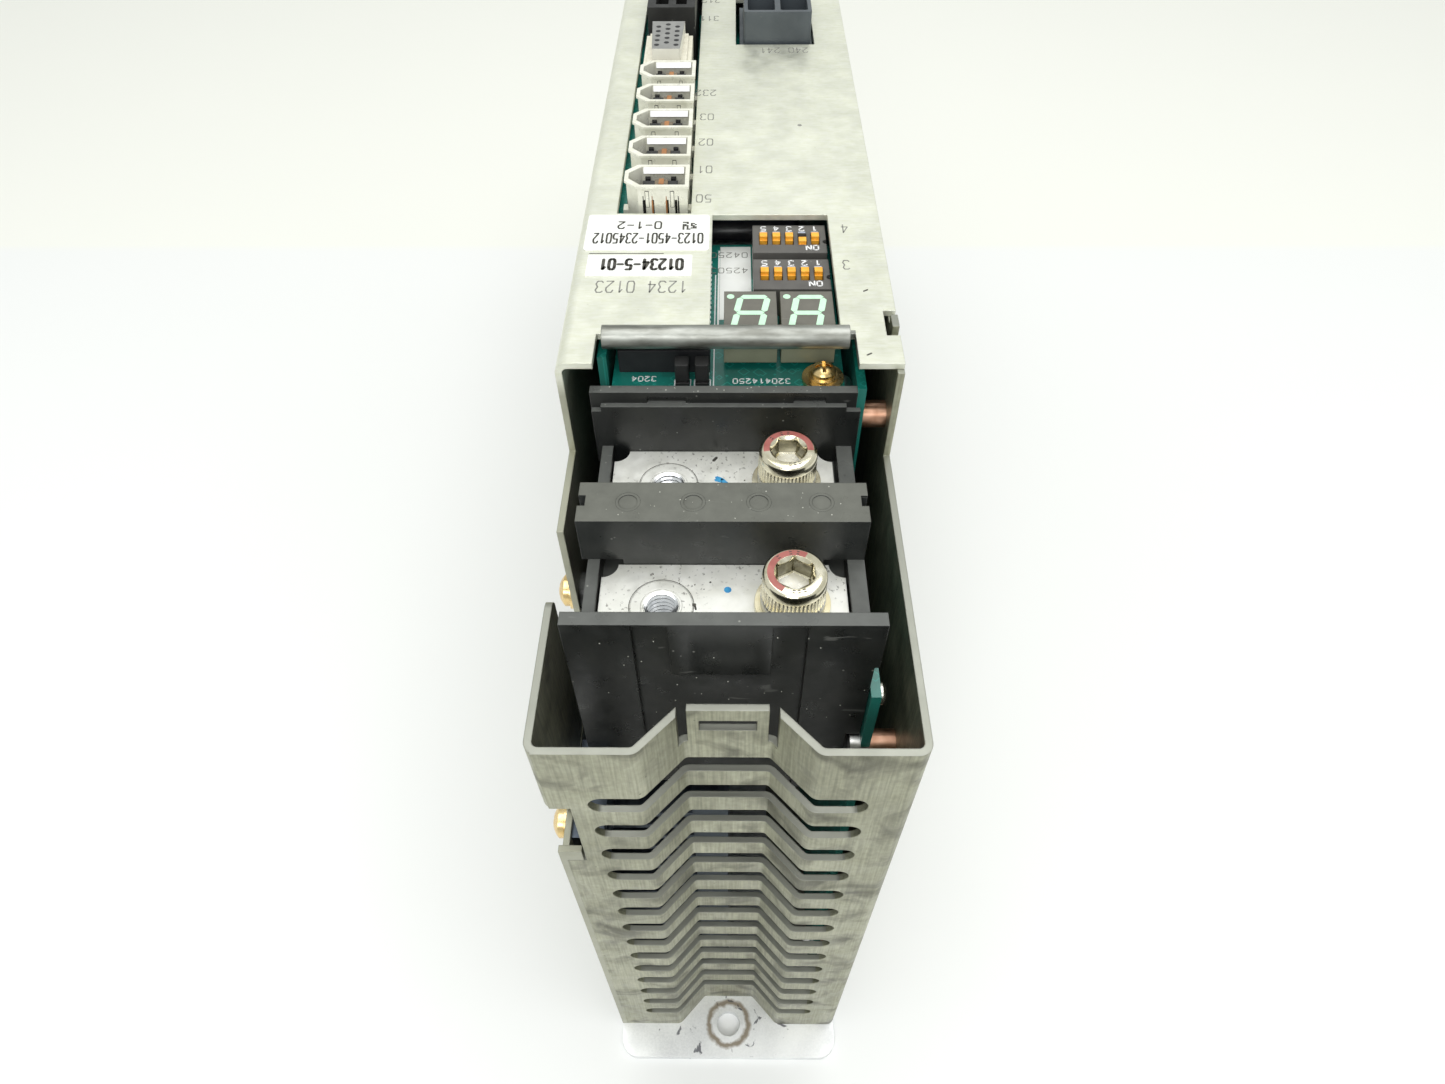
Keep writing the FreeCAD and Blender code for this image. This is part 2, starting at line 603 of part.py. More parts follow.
def io_socket_inserts():
    """Plastic contact tongues of the five sockets."""
    tongues = []
    for index in range(5):
        y = socket_y(index)
        base = block((SOCKET_X[0] + 2.6, SOCKET_X[1] - 0.7), around(y, 3.2), (FRONT_BOARD_Z + 1.0, 180.0))
        tongue = block((SOCKET_X[0] + 3.2, SOCKET_X[1] - 2.0), around(y, 0.9), (179.5, 190.4))
        tongues.append(join([base, tongue]))
    return group(tongues)


def monitor_connector_body():
    """Plastic body of the fifteen-way monitor connector."""
    body = block((-20.9, -9.4), (166.3, 185.1), (FRONT_BOARD_Z, 189.6))
    shoulder = block((-19.9, -10.4), (167.5, 183.9), (189.0, 190.6))
    return join([body, shoulder])


def monitor_connector_shell():
    """Metal shell and contact face with three rows of five holes."""
    x = (-19.2, -11.2)
    y = (167.7, 183.5)
    corners = [(x[0] + 0.7, y[0], 190.6), (x[1] - 0.7, y[0], 190.6), (x[1], y[1], 190.6), (x[0], y[1], 190.6)]
    body = prism(corners, (0, 0, 3.0))
    holes = []
    for row in range(3):
        for n in range(5):
            hole_y = 169.9 + 2.6 * n + (1.3 if row == 1 else 0)
            holes.append(rod((-15.2 + 2.3 * (row - 1), hole_y, 191.6), Z_AXIS, 0.55, 4))
    return body.cut(holes)


def encoder_connectors():
    """Two shrouded signal sockets with a contact tongue each."""
    sockets = []
    for start in (191.0, 211.0):
        y = (start, start + 18.0)
        body = block((-21.0, -9.0), y, (FRONT_BOARD_Z, 194.0))
        mouth = block((-18.9, -11.1), (y[0] + 2.0, y[1] - 2.0), (184.0, 195.0))
        tongue = block((-16.0, -14.0), (y[0] + 3.2, y[1] - 3.2), (183.5, 192.6))
        sockets.append(join([body.cut(mouth), tongue]))
    return group(sockets)


DC_X = (3.4, 20.3)
DC_Y = (187.2, 211.0)
DC_TOP = 194.3


def dc_cells():
    """Centres of the four ways of the control supply connector."""
    return [(x, y) for x in (7.75, 15.95) for y in (193.3, 204.9)]


def dc_connector():
    """Control supply connector: a four-way shroud that stands out of the panel."""
    body = rounded_block(DC_X, DC_Y, (FRONT_BOARD_Z, DC_TOP), 0.6)
    cells = [rounded_block(around(x, 3.4), around(y, 4.9), (179.0, DC_TOP + 1), 0.5) for x, y in dc_cells()]
    collar_z = (183.6, PANEL_Z - SHEET - 0.1)
    collar = block((DC_X[0] - 1.0, DC_X[1] + 0.7), (DC_Y[0] - 0.9, DC_Y[1] + 2.0), collar_z)
    return join([body, collar]).cut(cells)


def dc_contacts():
    return group([block(around(x, 1.0), around(y, 0.4), (179.0, 189.5)) for x, y in dc_cells()])


def motor_connector():
    """Three-way motor output connector near the upper end of the panel."""
    x = (-20.0, 20.0)
    y = (262.0, 282.0)
    body = rounded_block(x, y, (FRONT_BOARD_Z, 197.0), 1.0)
    cells = [rounded_block(around(centre, 4.9), around(272.0, 7.2), (180.0, 198.0), 0.8)
             for centre in (-12.4, 0, 12.4)]
    return body.cut(cells)


def motor_contacts():
    return group([block(around(x, 0.6), around(272.0, 3.0), (180.0, 192.0)) for x in (-12.4, 0, 12.4)])


# ---- labels -------------------------------------------------------------------------
def cover_labels():
    z = (PANEL_Z, PANEL_Z + 0.15)
    return group([rounded_block((-27.9, -3.9), (94.2, 106.6), z, 0.8), block((-26.7, -7.0), (85.9, 92.7), z)])


def board_sticker():
    return block((-1.9, 4.3), (83.5, 107.8), (DISPLAY_Z, DISPLAY_Z + 0.12))


# ---- cooling fan at the upper end -------------------------------------------------------
FAN_X = -1.6
FAN_Z = 60.0
FAN_Y = (336.0, 351.0)
FAN_HALF = 25.0


def fan_corners():
    return [(FAN_X + sx * 20.0, FAN_Z + sz * 20.0) for sx in (-1, 1) for sz in (-1, 1)]


def fan_frame():
    """Square frame with a round duct, a motor plate and four struts."""
    frame = rounded_block(around(FAN_X, FAN_HALF), FAN_Y, around(FAN_Z, FAN_HALF), 3.0, Y_AXIS)
    duct = rod((FAN_X, FAN_Y[0] - 1, FAN_Z), Y_AXIS, 23.4, 17)
    frame = frame.cut(duct)
    plate_y = (FAN_Y[1] - 2.0, FAN_Y[1])
    struts = [block(around(FAN_X, 1.2), plate_y, around(FAN_Z, 23.8)),
              block(around(FAN_X, 23.8), plate_y, around(FAN_Z, 1.2))]
    hub = rod((FAN_X, plate_y[0], FAN_Z), Y_AXIS, 11.0, 2.0)
    post = rod((FAN_X, FAN_Y[0] + 5.0, FAN_Z), Y_AXIS, 2.0, 9.0)
    body = join([frame, hub, post] + struts)
    return body.cut([rod((x, FAN_Y[0] - 1, z), Y_AXIS, 2.15, 17) for x, z in fan_corners()])


def fan_rotor():
    """Cup and seven pitched blades, running on the frame's post."""
    cup = rod((FAN_X, FAN_Y[0] + 1.0, FAN_Z), Y_AXIS, 10.5, 11.2)
    bore = rod((FAN_X, FAN_Y[0] + 3.5, FAN_Z), Y_AXIS, 2.05, 12)
    blades = []
    count = 7
    for n in range(count):
        blade = block((9.5, 22.4), (-5.6, 5.6), (-0.6, 0.6))
        blade.rotate(vec(0, 0, 0), X_AXIS, 38)
        blade.rotate(vec(0, 0, 0), Y_AXIS, 360.0 / count * n)
        blade.translate(vec(FAN_X, FAN_Y[0] + 6.6, FAN_Z))
        blades.append(blade)
    ring = rod((FAN_X, FAN_Y[0] + 1.0, FAN_Z), Y_AXIS, 22.6, 11.2)
    return join([cup] + blades).common(ring).cut(bore)


def fan_bracket():
    """Sheet that closes the duct around the fan, with a fixing foot."""
    y = (FAN_Y[1], FAN_Y[1] + SHEET)
    sheet = block((-26.8, 26.8), y, (BODY_Z + SHEET + 0.2, 98.0))
    hole = rod((FAN_X, y[0] - 1, FAN_Z), Y_AXIS, 23.0, 4)
    screws = [rod((x, y[0] - 1, z), Y_AXIS, 1.9, 4) for x, z in fan_corners()]
    return sheet.cut([hole] + screws)


def fan_screws():
    parts = []
    for x, z in fan_corners():
        head = rod((x, FAN_Y[0] - 2.4, z), Y_AXIS, 3.4, 2.4)
        shank = rod((x, FAN_Y[0] - 0.2, z), Y_AXIS, 1.8, 18.6)
        parts.append(join([head, shank]))
    return group(parts)


def nodes():
    """Every sub-part by the name of its node."""
    parts = {
        "mounting_plate": mounting_plate(),
        "chassis": chassis(),
        "upper_end_plate": upper_end_plate(),
        "front_cover": front_cover(),
        "cover_screws": cover_screws(),
        "heat_sink": heat_sink(),
        "power_module": power_module(),
        "power_module_screws": module_screws(),
        "main_board": main_board(),
        "main_board_spacers": main_board_spacers(),
        "main_board_screws": main_board_screws(),
        "dc_link_capacitors": capacitors(),
        "gate_board": gate_board(),
        "terminal_block": terminal_block(),
        "terminal_barrier": terminal_barrier(),
        "busbar_lower": busbar(0),
        "busbar_upper": busbar(1),
        "terminal_washers": terminal_washers(),
        "terminal_spring_washers": spring_washers(),
        "terminal_screws": terminal_screws(),
        "display_board": display_board(),
        "control_board": control_board(),
        "control_chips": control_chips(),
        "board_angles": board_angles(),
        "board_screw": board_screw(),
        "board_washer": board_washer(),
        "jumpers": jumpers(),
        "digit_left": digit(3.8),
        "digit_right": digit(14.0),
        "io_socket_inserts": io_socket_inserts(),
        "encoder_connectors": encoder_connectors(),
        "monitor_connector_body": monitor_connector_body(),
        "monitor_connector_shell": monitor_connector_shell(),
        "dc_connector": dc_connector(),
        "dc_connector_contacts": dc_contacts(),
        "motor_connector": motor_connector(),
        "motor_connector_contacts": motor_contacts(),
        "cover_labels": cover_labels(),
        "board_sticker": board_sticker(),
        "fan_frame": fan_frame(),
        "fan_rotor": fan_rotor(),
        "fan_bracket": fan_bracket(),
        "fan_screws": fan_screws(),
    }
    for index in range(5):
        parts[f"io_socket_{index + 1}"] = io_socket(index)
    for name, centre_y in zip(("lower", "upper"), DIP_Y):
        parts[f"dip_{name}_body"] = dip_body(centre_y)
        for number in range(1, 6):
            switched_on = name == "upper" and number == 2
            parts[f"dip_{name}_slider_{number}"] = dip_slider(centre_y, number, switched_on)
    return parts


def main():
    os.makedirs("parts", exist_ok=True)
    for name, shape in nodes().items():
        shape.exportStep(f"parts/{name}.step")


main()
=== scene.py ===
import json
import math
import random

import bmesh
import bpy
from mathutils import Matrix, Vector


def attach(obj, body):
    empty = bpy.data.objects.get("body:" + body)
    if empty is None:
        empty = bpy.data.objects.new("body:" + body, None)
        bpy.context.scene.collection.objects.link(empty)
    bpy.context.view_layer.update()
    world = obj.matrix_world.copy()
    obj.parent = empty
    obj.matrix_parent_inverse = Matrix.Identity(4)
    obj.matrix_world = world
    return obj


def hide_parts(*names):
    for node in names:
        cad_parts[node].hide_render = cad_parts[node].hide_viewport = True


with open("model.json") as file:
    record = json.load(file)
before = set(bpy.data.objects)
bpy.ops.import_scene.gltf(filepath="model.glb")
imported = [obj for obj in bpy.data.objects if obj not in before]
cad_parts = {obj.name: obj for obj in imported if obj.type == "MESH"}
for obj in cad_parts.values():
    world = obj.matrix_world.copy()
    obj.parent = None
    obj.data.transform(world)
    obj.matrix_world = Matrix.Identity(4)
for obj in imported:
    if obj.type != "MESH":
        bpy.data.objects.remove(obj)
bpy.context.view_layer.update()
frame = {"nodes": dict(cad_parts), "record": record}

MM = 0.001
BODY = "drive"
random.seed(7)


# ---- materials ------------------------------------------------------------------------
class Look:
    """A procedural material whose patterns lie in the object's own metres."""

    def __init__(self, name, sockets):
        self.material = bpy.data.materials.new(name)
        self.material.use_nodes = True
        self.tree = self.material.node_tree
        self.shader = self.tree.nodes["Principled BSDF"]
        for socket, value in sockets.items():
            self.shader.inputs[socket].default_value = value
        self.place = self.node("ShaderNodeTexCoord").outputs["Object"]

    def node(self, kind, **settings):
        made = self.tree.nodes.new(kind)
        for key, value in settings.items():
            setattr(made, key, value)
        return made

    def feed(self, socket, value):
        """Sets a socket to a constant, or links an output to it."""
        if isinstance(value, bpy.types.NodeSocket):
            self.tree.links.new(value, socket)
        else:
            socket.default_value = value

    def stretched(self, stretch):
        """The object's own coordinates, scaled along each axis."""
        if stretch == (1, 1, 1):
            return self.place
        mapping = self.node("ShaderNodeMapping")
        mapping.inputs["Scale"].default_value = stretch
        self.feed(mapping.inputs["Vector"], self.place)
        return mapping.outputs["Vector"]

    def noise(self, size, detail=3.0, stretch=(1, 1, 1), distortion=0.0):
        """Noise with features about this many millimetres across."""
        made = self.node("ShaderNodeTexNoise")
        self.feed(made.inputs["Vector"], self.stretched(stretch))
        made.inputs["Scale"].default_value = 1 / (size * MM)
        made.inputs["Detail"].default_value = detail
        made.inputs["Distortion"].default_value = distortion
        return made.outputs["Fac"]

    def cells(self, size, metric="EUCLIDEAN", stretch=(1, 1, 1)):
        """Voronoi cells about this many millimetres across."""
        made = self.node("ShaderNodeTexVoronoi", feature="F1", distance=metric)
        self.feed(made.inputs["Vector"], self.stretched(stretch))
        made.inputs["Scale"].default_value = 1 / (size * MM)
        return made

    def ramp(self, value, *stops):
        """Colour or grey ramp; each stop is (position, grey or colour)."""
        made = self.node("ShaderNodeValToRGB")
        self.feed(made.inputs["Fac"], value)
        elements = made.color_ramp.elements
        while len(elements) < len(stops):
            elements.new(0.5)
        for element, (position, tone) in zip(elements, stops):
            element.position = position
            element.color = (tone, tone, tone, 1) if isinstance(tone, (int, float)) else (*tone, 1)
        return made.outputs["Color"]

    def mix(self, factor, low, high, blend="MIX"):
        made = self.node("ShaderNodeMix", data_type="RGBA", blend_type=blend)
        self.feed(made.inputs["Factor"], factor)
        self.feed(made.inputs["A"], (*low, 1) if isinstance(low, tuple) else low)
        self.feed(made.inputs["B"], (*high, 1) if isinstance(high, tuple) else high)
        return made.outputs["Result"]

    def math(self, operation, a, b):
        made = self.node("ShaderNodeMath", operation=operation)
        self.feed(made.inputs[0], a)
        self.feed(made.inputs[1], b)
        return made.outputs["Value"]

    def normal_part(self, axis):
        """How far the true surface faces along an axis, 0 X, 1 Y, 2 Z."""
        geometry = self.node("ShaderNodeNewGeometry")
        split = self.node("ShaderNodeSeparateXYZ")
        self.feed(split.inputs["Vector"], geometry.outputs["True Normal"])
        return split.outputs[axis]

    def position_part(self, axis):
        """Place along an axis in the object's own metres."""
        split = self.node("ShaderNodeSeparateXYZ")
        self.feed(split.inputs["Vector"], self.place)
        return split.outputs[axis]

    def colour(self, value):
        self.feed(self.shader.inputs["Base Color"], value)

    def roughness(self, value):
        self.feed(self.shader.inputs["Roughness"], value)

    def surface(self, height, depth=0.02, strength=0.3, rounding=0.0):
        """Bump from a height; depth and the rounding of the edges are in millimetres."""
        bump = self.node("ShaderNodeBump")
        bump.inputs["Strength"].default_value = strength
        bump.inputs["Distance"].default_value = depth * MM
        self.feed(bump.inputs["Height"], height)
        if rounding:
            bevel = self.node("ShaderNodeBevel", samples=3)
            bevel.inputs["Radius"].default_value = rounding * MM
            self.feed(bump.inputs["Normal"], bevel.outputs["Normal"])
        self.feed(self.shader.inputs["Normal"], bump.outputs["Normal"])


def zinc_sheet(name, light, dark, grime, brush, cut_edge=None, wear=0.5, grained=0.22, rolled=None):
    """Zinc-plated sheet: cloudy tone, brushed grain, and grime that is thickest at the lower end.

    cut_edge is the tone of faces that look along Z. rolled is the tone of the cover's rolled lip, a painted
    shade darker than the panel, and brings with it a painted shade on the walls below the panel.
    """
    look = Look(name, {"Metallic": 0.78, "Specular IOR Level": 0.5})
    clouds = look.noise(34, 4, distortion=0.6)
    fine = look.noise(1.1, 2)
    grain = look.noise(0.7, 3, stretch=brush)
    tone = look.mix(look.ramp(clouds, (0.3, 0), (0.72, 1)), dark, light)
    tone = look.mix(grained, tone, look.ramp(grain, (0.3, 0.2), (0.7, 0.95)), "OVERLAY")
    tone = look.mix(0.12, tone, look.ramp(fine, (0.35, 0.2), (0.7, 0.9)), "OVERLAY")
    spots = look.ramp(look.noise(9, 6, distortion=0.7), (0.50, 0), (0.70, wear))
    near_end = look.ramp(look.position_part(1), (0.01, 1), (0.03, 0.25))
    dirt = look.math("MULTIPLY", spots, near_end)
    tone = look.mix(dirt, tone, grime)
    specks = look.ramp(look.cells(3.6).outputs["Distance"], (0.035, wear), (0.07, 0))
    tone = look.mix(specks, tone, grime)
    if cut_edge is not None:
        facing = look.math("ABSOLUTE", look.normal_part(2), 0.0)
        tone = look.mix(look.ramp(facing, (0.86, 0), (0.93, 1)), tone, cut_edge)
    if rolled is not None:
        lip_half_width, lip_end = 0.0219, 0.0700
        across = look.math("LESS_THAN", look.math("ABSOLUTE", look.position_part(0), 0.0), lip_half_width)
        lip = look.math("MULTIPLY", look.math("LESS_THAN", look.position_part(1), lip_end), across)
        # Below the panel the walls take a darker tone: painted shade.
        painted_wall_shade = look.mix(look.ramp(clouds, (0.3, 0), (0.72, 1)), (0.33, 0.33, 0.26), (0.42, 0.42, 0.335))
        # Z is raised by half a metre before the ramp, so 0.681 is 181 mm, just under the panel.
        high = look.ramp(look.math("SUBTRACT", look.position_part(2), -0.5), (0.681, 0), (0.684, 1))
        tone = look.mix(high, painted_wall_shade, tone)
        # The lip takes the rolled tone, a painted shade, with dark streaks along it that are partly wear and
        # partly painted shade bands.
        lip_wear_and_shade = look.ramp(look.noise(1.6, 5, stretch=(0.25, 1, 1)), (0.35, 0.35), (0.7, 1))
        tone = look.mix(lip, tone, look.mix(lip_wear_and_shade, (0.10, 0.10, 0.08), rolled))
        look.feed(look.shader.inputs["Metallic"], look.ramp(lip, (0.4, 0.78), (0.6, 1)))
    look.colour(tone)
    look.roughness(look.ramp(look.noise(5, 5), (0.3, 0.34), (0.75, 0.56)))
    look.surface(look.mix(0.5, look.ramp(grain, (0.2, 0), (0.8, 1)), look.ramp(fine, (0.2, 0), (0.8, 1))),
                 0.05, 0.22, 0.25)
    return look.material


def plastic(name, base, lift, gloss=(0.42, 0.6), dust=0.5, rounding=0.25, top=None):
    """Glass-filled moulding: faint mottle, fine texture, scratches and dust; top gives its upward faces a
    tone of their own, which on the terminal block and its barriers is partly dust and partly painted light
    from above.
    """
    look = Look(name, {"Specular IOR Level": 0.42})
    tone = look.mix(look.ramp(look.noise(7, 4), (0.3, 0), (0.75, 1)), base, lift)
    if top is not None:
        # Upward faces take the top tone; on the terminal block and its barriers it is partly dust and partly
        # painted light.
        upper_face_tone = look.mix(look.ramp(look.noise(2.5, 4), (0.3, 0.8), (0.7, 1)), (0, 0, 0), top)
        tone = look.mix(look.ramp(look.normal_part(2), (0.7, 0), (0.9, 1)), tone, upper_face_tone)
    specks = look.ramp(look.cells(2.3).outputs["Distance"], (0.05, dust), (0.09, 0))
    keep = look.ramp(look.noise(6, 2), (0.52, 0), (0.6, 1))
    tone = look.mix(look.math("MULTIPLY", specks, keep), tone, (0.42, 0.42, 0.38))
    scratches = look.ramp(look.noise(2.2, 4, stretch=(0.25, 3.5, 1), distortion=0.8), (0.70, 0), (0.74, 0.25))
    tone = look.mix(scratches, tone, (0.3, 0.3, 0.28))
    look.colour(tone)
    look.roughness(look.ramp(look.noise(3, 3), (0.3, gloss[0]), (0.7, gloss[1])))
    look.surface(look.noise(0.35, 2), 0.02, 0.35, rounding)
    return look.material


def bright_metal(name, low, high, rough=(0.18, 0.36), stain=(0.3, 0.25, 0.16), stains=0.3, rounding=0.12,
                 metal=1.0):
    """Plated small hardware: cloudy plating, fine pits and a little staining."""
    look = Look(name, {"Metallic": metal})
    tone = look.mix(look.ramp(look.noise(2.6, 4, distortion=0.5), (0.3, 0), (0.7, 1)), low, high)
    marks = look.ramp(look.noise(2.4, 5), (0.6, 0), (0.75, stains))
    look.colour(look.mix(marks, tone, stain))
    look.roughness(look.ramp(look.noise(1.6, 3), (0.3, rough[0]), (0.7, rough[1])))
    look.surface(look.noise(1.0, 2), 0.008, 0.08, rounding)
    return look.material


def bus_bar():
    """Tinned plate: pale, speckled with dark pits and soft stains."""
    look = Look("busbar_tin", {"Metallic": 0.45})
    tone = look.mix(look.ramp(look.noise(6, 5, distortion=0.8), (0.3, 0), (0.7, 1)),
                    (0.78, 0.78, 0.71), (0.98, 0.98, 0.93))
    pits = look.ramp(look.noise(0.75, 3), (0.60, 0), (0.68, 0.75))
    area = look.ramp(look.noise(9, 2), (0.42, 0), (0.62, 1))
    tone = look.mix(look.math("MULTIPLY", pits, area), tone, (0.16, 0.15, 0.13))
    look.colour(tone)
    look.roughness(look.ramp(look.noise(2, 4), (0.3, 0.3), (0.7, 0.52)))
    look.surface(look.noise(0.5, 3), 0.03, 0.3, 0.15)
    return look.material


def mounting_zinc():
    """Bright plate with a fine speckle, and rust and dirt printed around the lower hole."""
    look = Look("plate_zinc", {"Metallic": 0.6})
    tone = look.mix(look.ramp(look.noise(12, 4), (0.3, 0), (0.7, 1)), (0.66, 0.67, 0.68), (0.86, 0.87, 0.87))
    tone = look.mix(0.2, tone, look.ramp(look.noise(0.5, 2), (0.3, 0.2), (0.7, 0.95)), "OVERLAY")
    length = look.node("ShaderNodeVectorMath", operation="LENGTH")
    look.feed(length.inputs[0], look.place)
    washer_print = 12 * MM      # a radius of 1 in the ring's ramp
    radius = look.math("MULTIPLY", length.outputs["Value"], 1 / washer_print)
    wobble = look.math("MULTIPLY", look.noise(2.4, 4), 0.16)
    ring = look.ramp(look.math("ADD", radius, wobble), (0.50, 0), (0.56, 0.9), (0.60, 0.85), (0.66, 0))
    tone = look.mix(ring, tone, (0.22, 0.17, 0.11))
    blots = look.ramp(look.noise(4.5, 5, distortion=1.5), (0.66, 0), (0.70, 0.85))
    tone = look.mix(blots, tone, (0.07, 0.07, 0.09))
    look.colour(tone)
    look.roughness(look.ramp(look.noise(3, 4), (0.3, 0.35), (0.7, 0.55)))
    look.surface(look.noise(0.4, 3), 0.03, 0.3, 0.3)
    return look.material


def circuit_board():
    """Solder mask over copper tracks that run square and show as lighter lines."""
    look = Look("board_green", {"Specular IOR Level": 0.6, "Coat Weight": 0.4, "Coat Roughness": 0.2})
    tracks = look.cells(2.1, metric="MANHATTAN", stretch=(1, 1, 0.001)).outputs["Distance"]
    lines = look.ramp(tracks, (0.42, 0), (0.46, 0.8), (0.52, 0.8), (0.56, 0))
    planes = look.ramp(look.cells(9, metric="CHEBYCHEV", stretch=(1, 1, 0.001)).outputs["Distance"],
                       (0.36, 0), (0.40, 0.5))
    tone = look.mix(look.noise(14, 3), (0.004, 0.105, 0.085), (0.008, 0.17, 0.135))
    tone = look.mix(planes, tone, (0.006, 0.20, 0.16))
    tone = look.mix(lines, tone, (0.02, 0.30, 0.24))
    edge = look.math("ABSOLUTE", look.normal_part(2), 0.0)
    look.colour(tone)
    look.roughness(look.ramp(edge, (0.4, 0.5), (0.9, 0.3)))
    look.surface(lines, 0.03, 0.4)
    return look.material


def brushed_aluminium():
    """Extruded fins with streaks along Y, coloured dark as painted shade for fins deep inside the case."""
    look = Look("heat_sink_aluminium", {"Metallic": 0.9})
    streaks = look.noise(1.2, 4, stretch=(1, 0.02, 1))
    # The dark tone is painted shade for fins deep inside the case.
    look.colour(look.mix(streaks, (0.07, 0.085, 0.11), (0.16, 0.19, 0.23)))
    look.roughness(look.ramp(streaks, (0.3, 0.3), (0.7, 0.5)))
    look.surface(streaks, 0.03, 0.3, 0.1)
    return look.material


def sleeve():
    """Shrink sleeve of a capacitor, with a pale polarity stripe along one side."""
    look = Look("capacitor_sleeve", {"Coat Weight": 0.5, "Coat Roughness": 0.15})
    full_height = 0.16          # metres, the top of the ramp
    stripe = look.ramp(look.math("MULTIPLY", look.position_part(2), 1 / full_height), (0.96, 0), (0.965, 1))
    tone = look.mix(look.noise(6, 3), (0.012, 0.014, 0.03), (0.03, 0.035, 0.06))
    look.colour(look.mix(stripe, tone, (0.55, 0.56, 0.58)))
    look.roughness(look.ramp(look.noise(4, 3), (0.3, 0.3), (0.7, 0.45)))
    look.surface(look.noise(1.5, 2), 0.05, 0.2)
    return look.material


def paper(name, base, stain):
    """Printed film: nearly flat, faintly soiled, soft sheen."""
    look = Look(name, {"Coat Weight": 0.25, "Coat Roughness": 0.35})
    look.colour(look.mix(look.ramp(look.noise(6, 5, distortion=0.7), (0.5, 0), (0.85, 0.4)), base, stain))
    look.roughness(look.ramp(look.noise(3, 3), (0.3, 0.42), (0.7, 0.58)))
    look.surface(look.noise(0.8, 2), 0.01, 0.2)
    return look.material


def glossy(name, low, high, rough=(0.25, 0.4), rounding=0.12):
    """Small coloured moulding or paint: slight mottle and sheen."""
    look = Look(name, {})
    look.colour(look.mix(look.ramp(look.noise(1.6, 3), (0.3, 0), (0.7, 1)), low, high))
    look.roughness(look.ramp(look.noise(1.1, 3), (0.3, rough[0]), (0.7, rough[1])))
    look.surface(look.noise(0.4, 2), 0.012, 0.25, rounding)
    return look.material


LOOKS = {
    "plate_zinc": mounting_zinc(),
    "case_zinc": zinc_sheet("case_zinc", (0.38, 0.38, 0.285), (0.25, 0.25, 0.18), (0.07, 0.068, 0.046),
                            (1.6, 1.6, 0.06), cut_edge=(0.34, 0.345, 0.30), wear=0.8, grained=0.3),
    # cover_zinc: the rolled tone is painted shade on the rolled lip.
    "cover_zinc": zinc_sheet("cover_zinc", (0.86, 0.87, 0.75), (0.78, 0.79, 0.67), (0.48, 0.48, 0.38),
                             (0.3, 1.6, 1.6), wear=0.22, rolled=(0.44, 0.45, 0.42)),
    "chromate_screw": bright_metal("chromate_screw", (0.62, 0.42, 0.16), (0.86, 0.68, 0.36)),
    "heat_sink_aluminium": brushed_aluminium(),
    "module_plastic": plastic("module_plastic", (0.012, 0.012, 0.013), (0.03, 0.03, 0.03)),
    "steel_screw": bright_metal("steel_screw", (0.42, 0.42, 0.40), (0.68, 0.68, 0.66), (0.25, 0.45)),
    "board_green": circuit_board(),
    "spacer_copper": bright_metal("spacer_copper", (0.48, 0.25, 0.16), (0.74, 0.46, 0.33), (0.3, 0.45)),
    "capacitor_sleeve": sleeve(),
    # The top tones of the terminal block and its barriers are partly dust and partly painted light on their
    # upward faces.
    "terminal_plastic": plastic("terminal_plastic", (0.006, 0.007, 0.007), (0.017, 0.018, 0.016), (0.25, 0.4),
                                top=(0.115, 0.12, 0.112)),
    "barrier_plastic": plastic("barrier_plastic", (0.012, 0.014, 0.014), (0.028, 0.030, 0.028), (0.25, 0.4),
                               dust=0.3, top=(0.135, 0.138, 0.118)),
    "busbar_tin": bus_bar(),
    "cap_screw_nickel": bright_metal("cap_screw_nickel", (0.62, 0.57, 0.41), (0.90, 0.85, 0.69), (0.12, 0.24),
                                     stains=0.45),
    "washer_chromate": bright_metal("washer_chromate", (0.70, 0.62, 0.38), (0.86, 0.81, 0.62), (0.25, 0.4)),
    "chip_black": plastic("chip_black", (0.010, 0.010, 0.012), (0.022, 0.022, 0.024), dust=0.2),
    "dip_grey": plastic("dip_grey", (0.085, 0.08, 0.075), (0.13, 0.125, 0.115), (0.35, 0.5), dust=0.3),
    "slider_orange": glossy("slider_orange", (0.86, 0.36, 0.02), (0.98, 0.50, 0.06)),
    "digit_face": plastic("digit_face", (0.20, 0.205, 0.14), (0.27, 0.275, 0.19), (0.28, 0.42), dust=0.15,
                          top=(0.155, 0.148, 0.125)),
    "socket_metal": bright_metal("socket_metal", (0.74, 0.73, 0.62), (0.88, 0.87, 0.77), (0.25, 0.34),
                                 stains=0.1, rounding=0, metal=0.2),
    "socket_plastic": plastic("socket_plastic", (0.010, 0.010, 0.010), (0.022, 0.022, 0.022), dust=0.3),
    "monitor_shell": plastic("monitor_shell", (0.74, 0.72, 0.64), (0.86, 0.84, 0.76), (0.3, 0.4), dust=0,
                             top=(0.27, 0.27, 0.26)),
    "monitor_cream": glossy("monitor_cream", (0.66, 0.63, 0.52), (0.78, 0.75, 0.64), (0.35, 0.5)),
    "dc_slate": plastic("dc_slate", (0.055, 0.065, 0.075), (0.085, 0.10, 0.112), (0.35, 0.5), dust=0.2),
    "contact_tin": bright_metal("contact_tin", (0.6, 0.58, 0.5), (0.85, 0.84, 0.78)),
    "label_white": paper("label_white", (0.86, 0.87, 0.84), (0.62, 0.62, 0.56)),
    "fan_plastic": plastic("fan_plastic", (0.012, 0.012, 0.012), (0.026, 0.026, 0.026)),
}


def dress_nodes():
    """Gives every CAD node the material of its slot in the record; one shell has a look of its own."""
    for part in frame["record"]["subparts"]:
        node = frame["nodes"][part["node"]]
        node.data.materials.clear()
        shell = part["node"] == "monitor_connector_shell"
        node.data.materials.append(LOOKS["monitor_shell" if shell else part["material_slot"]])


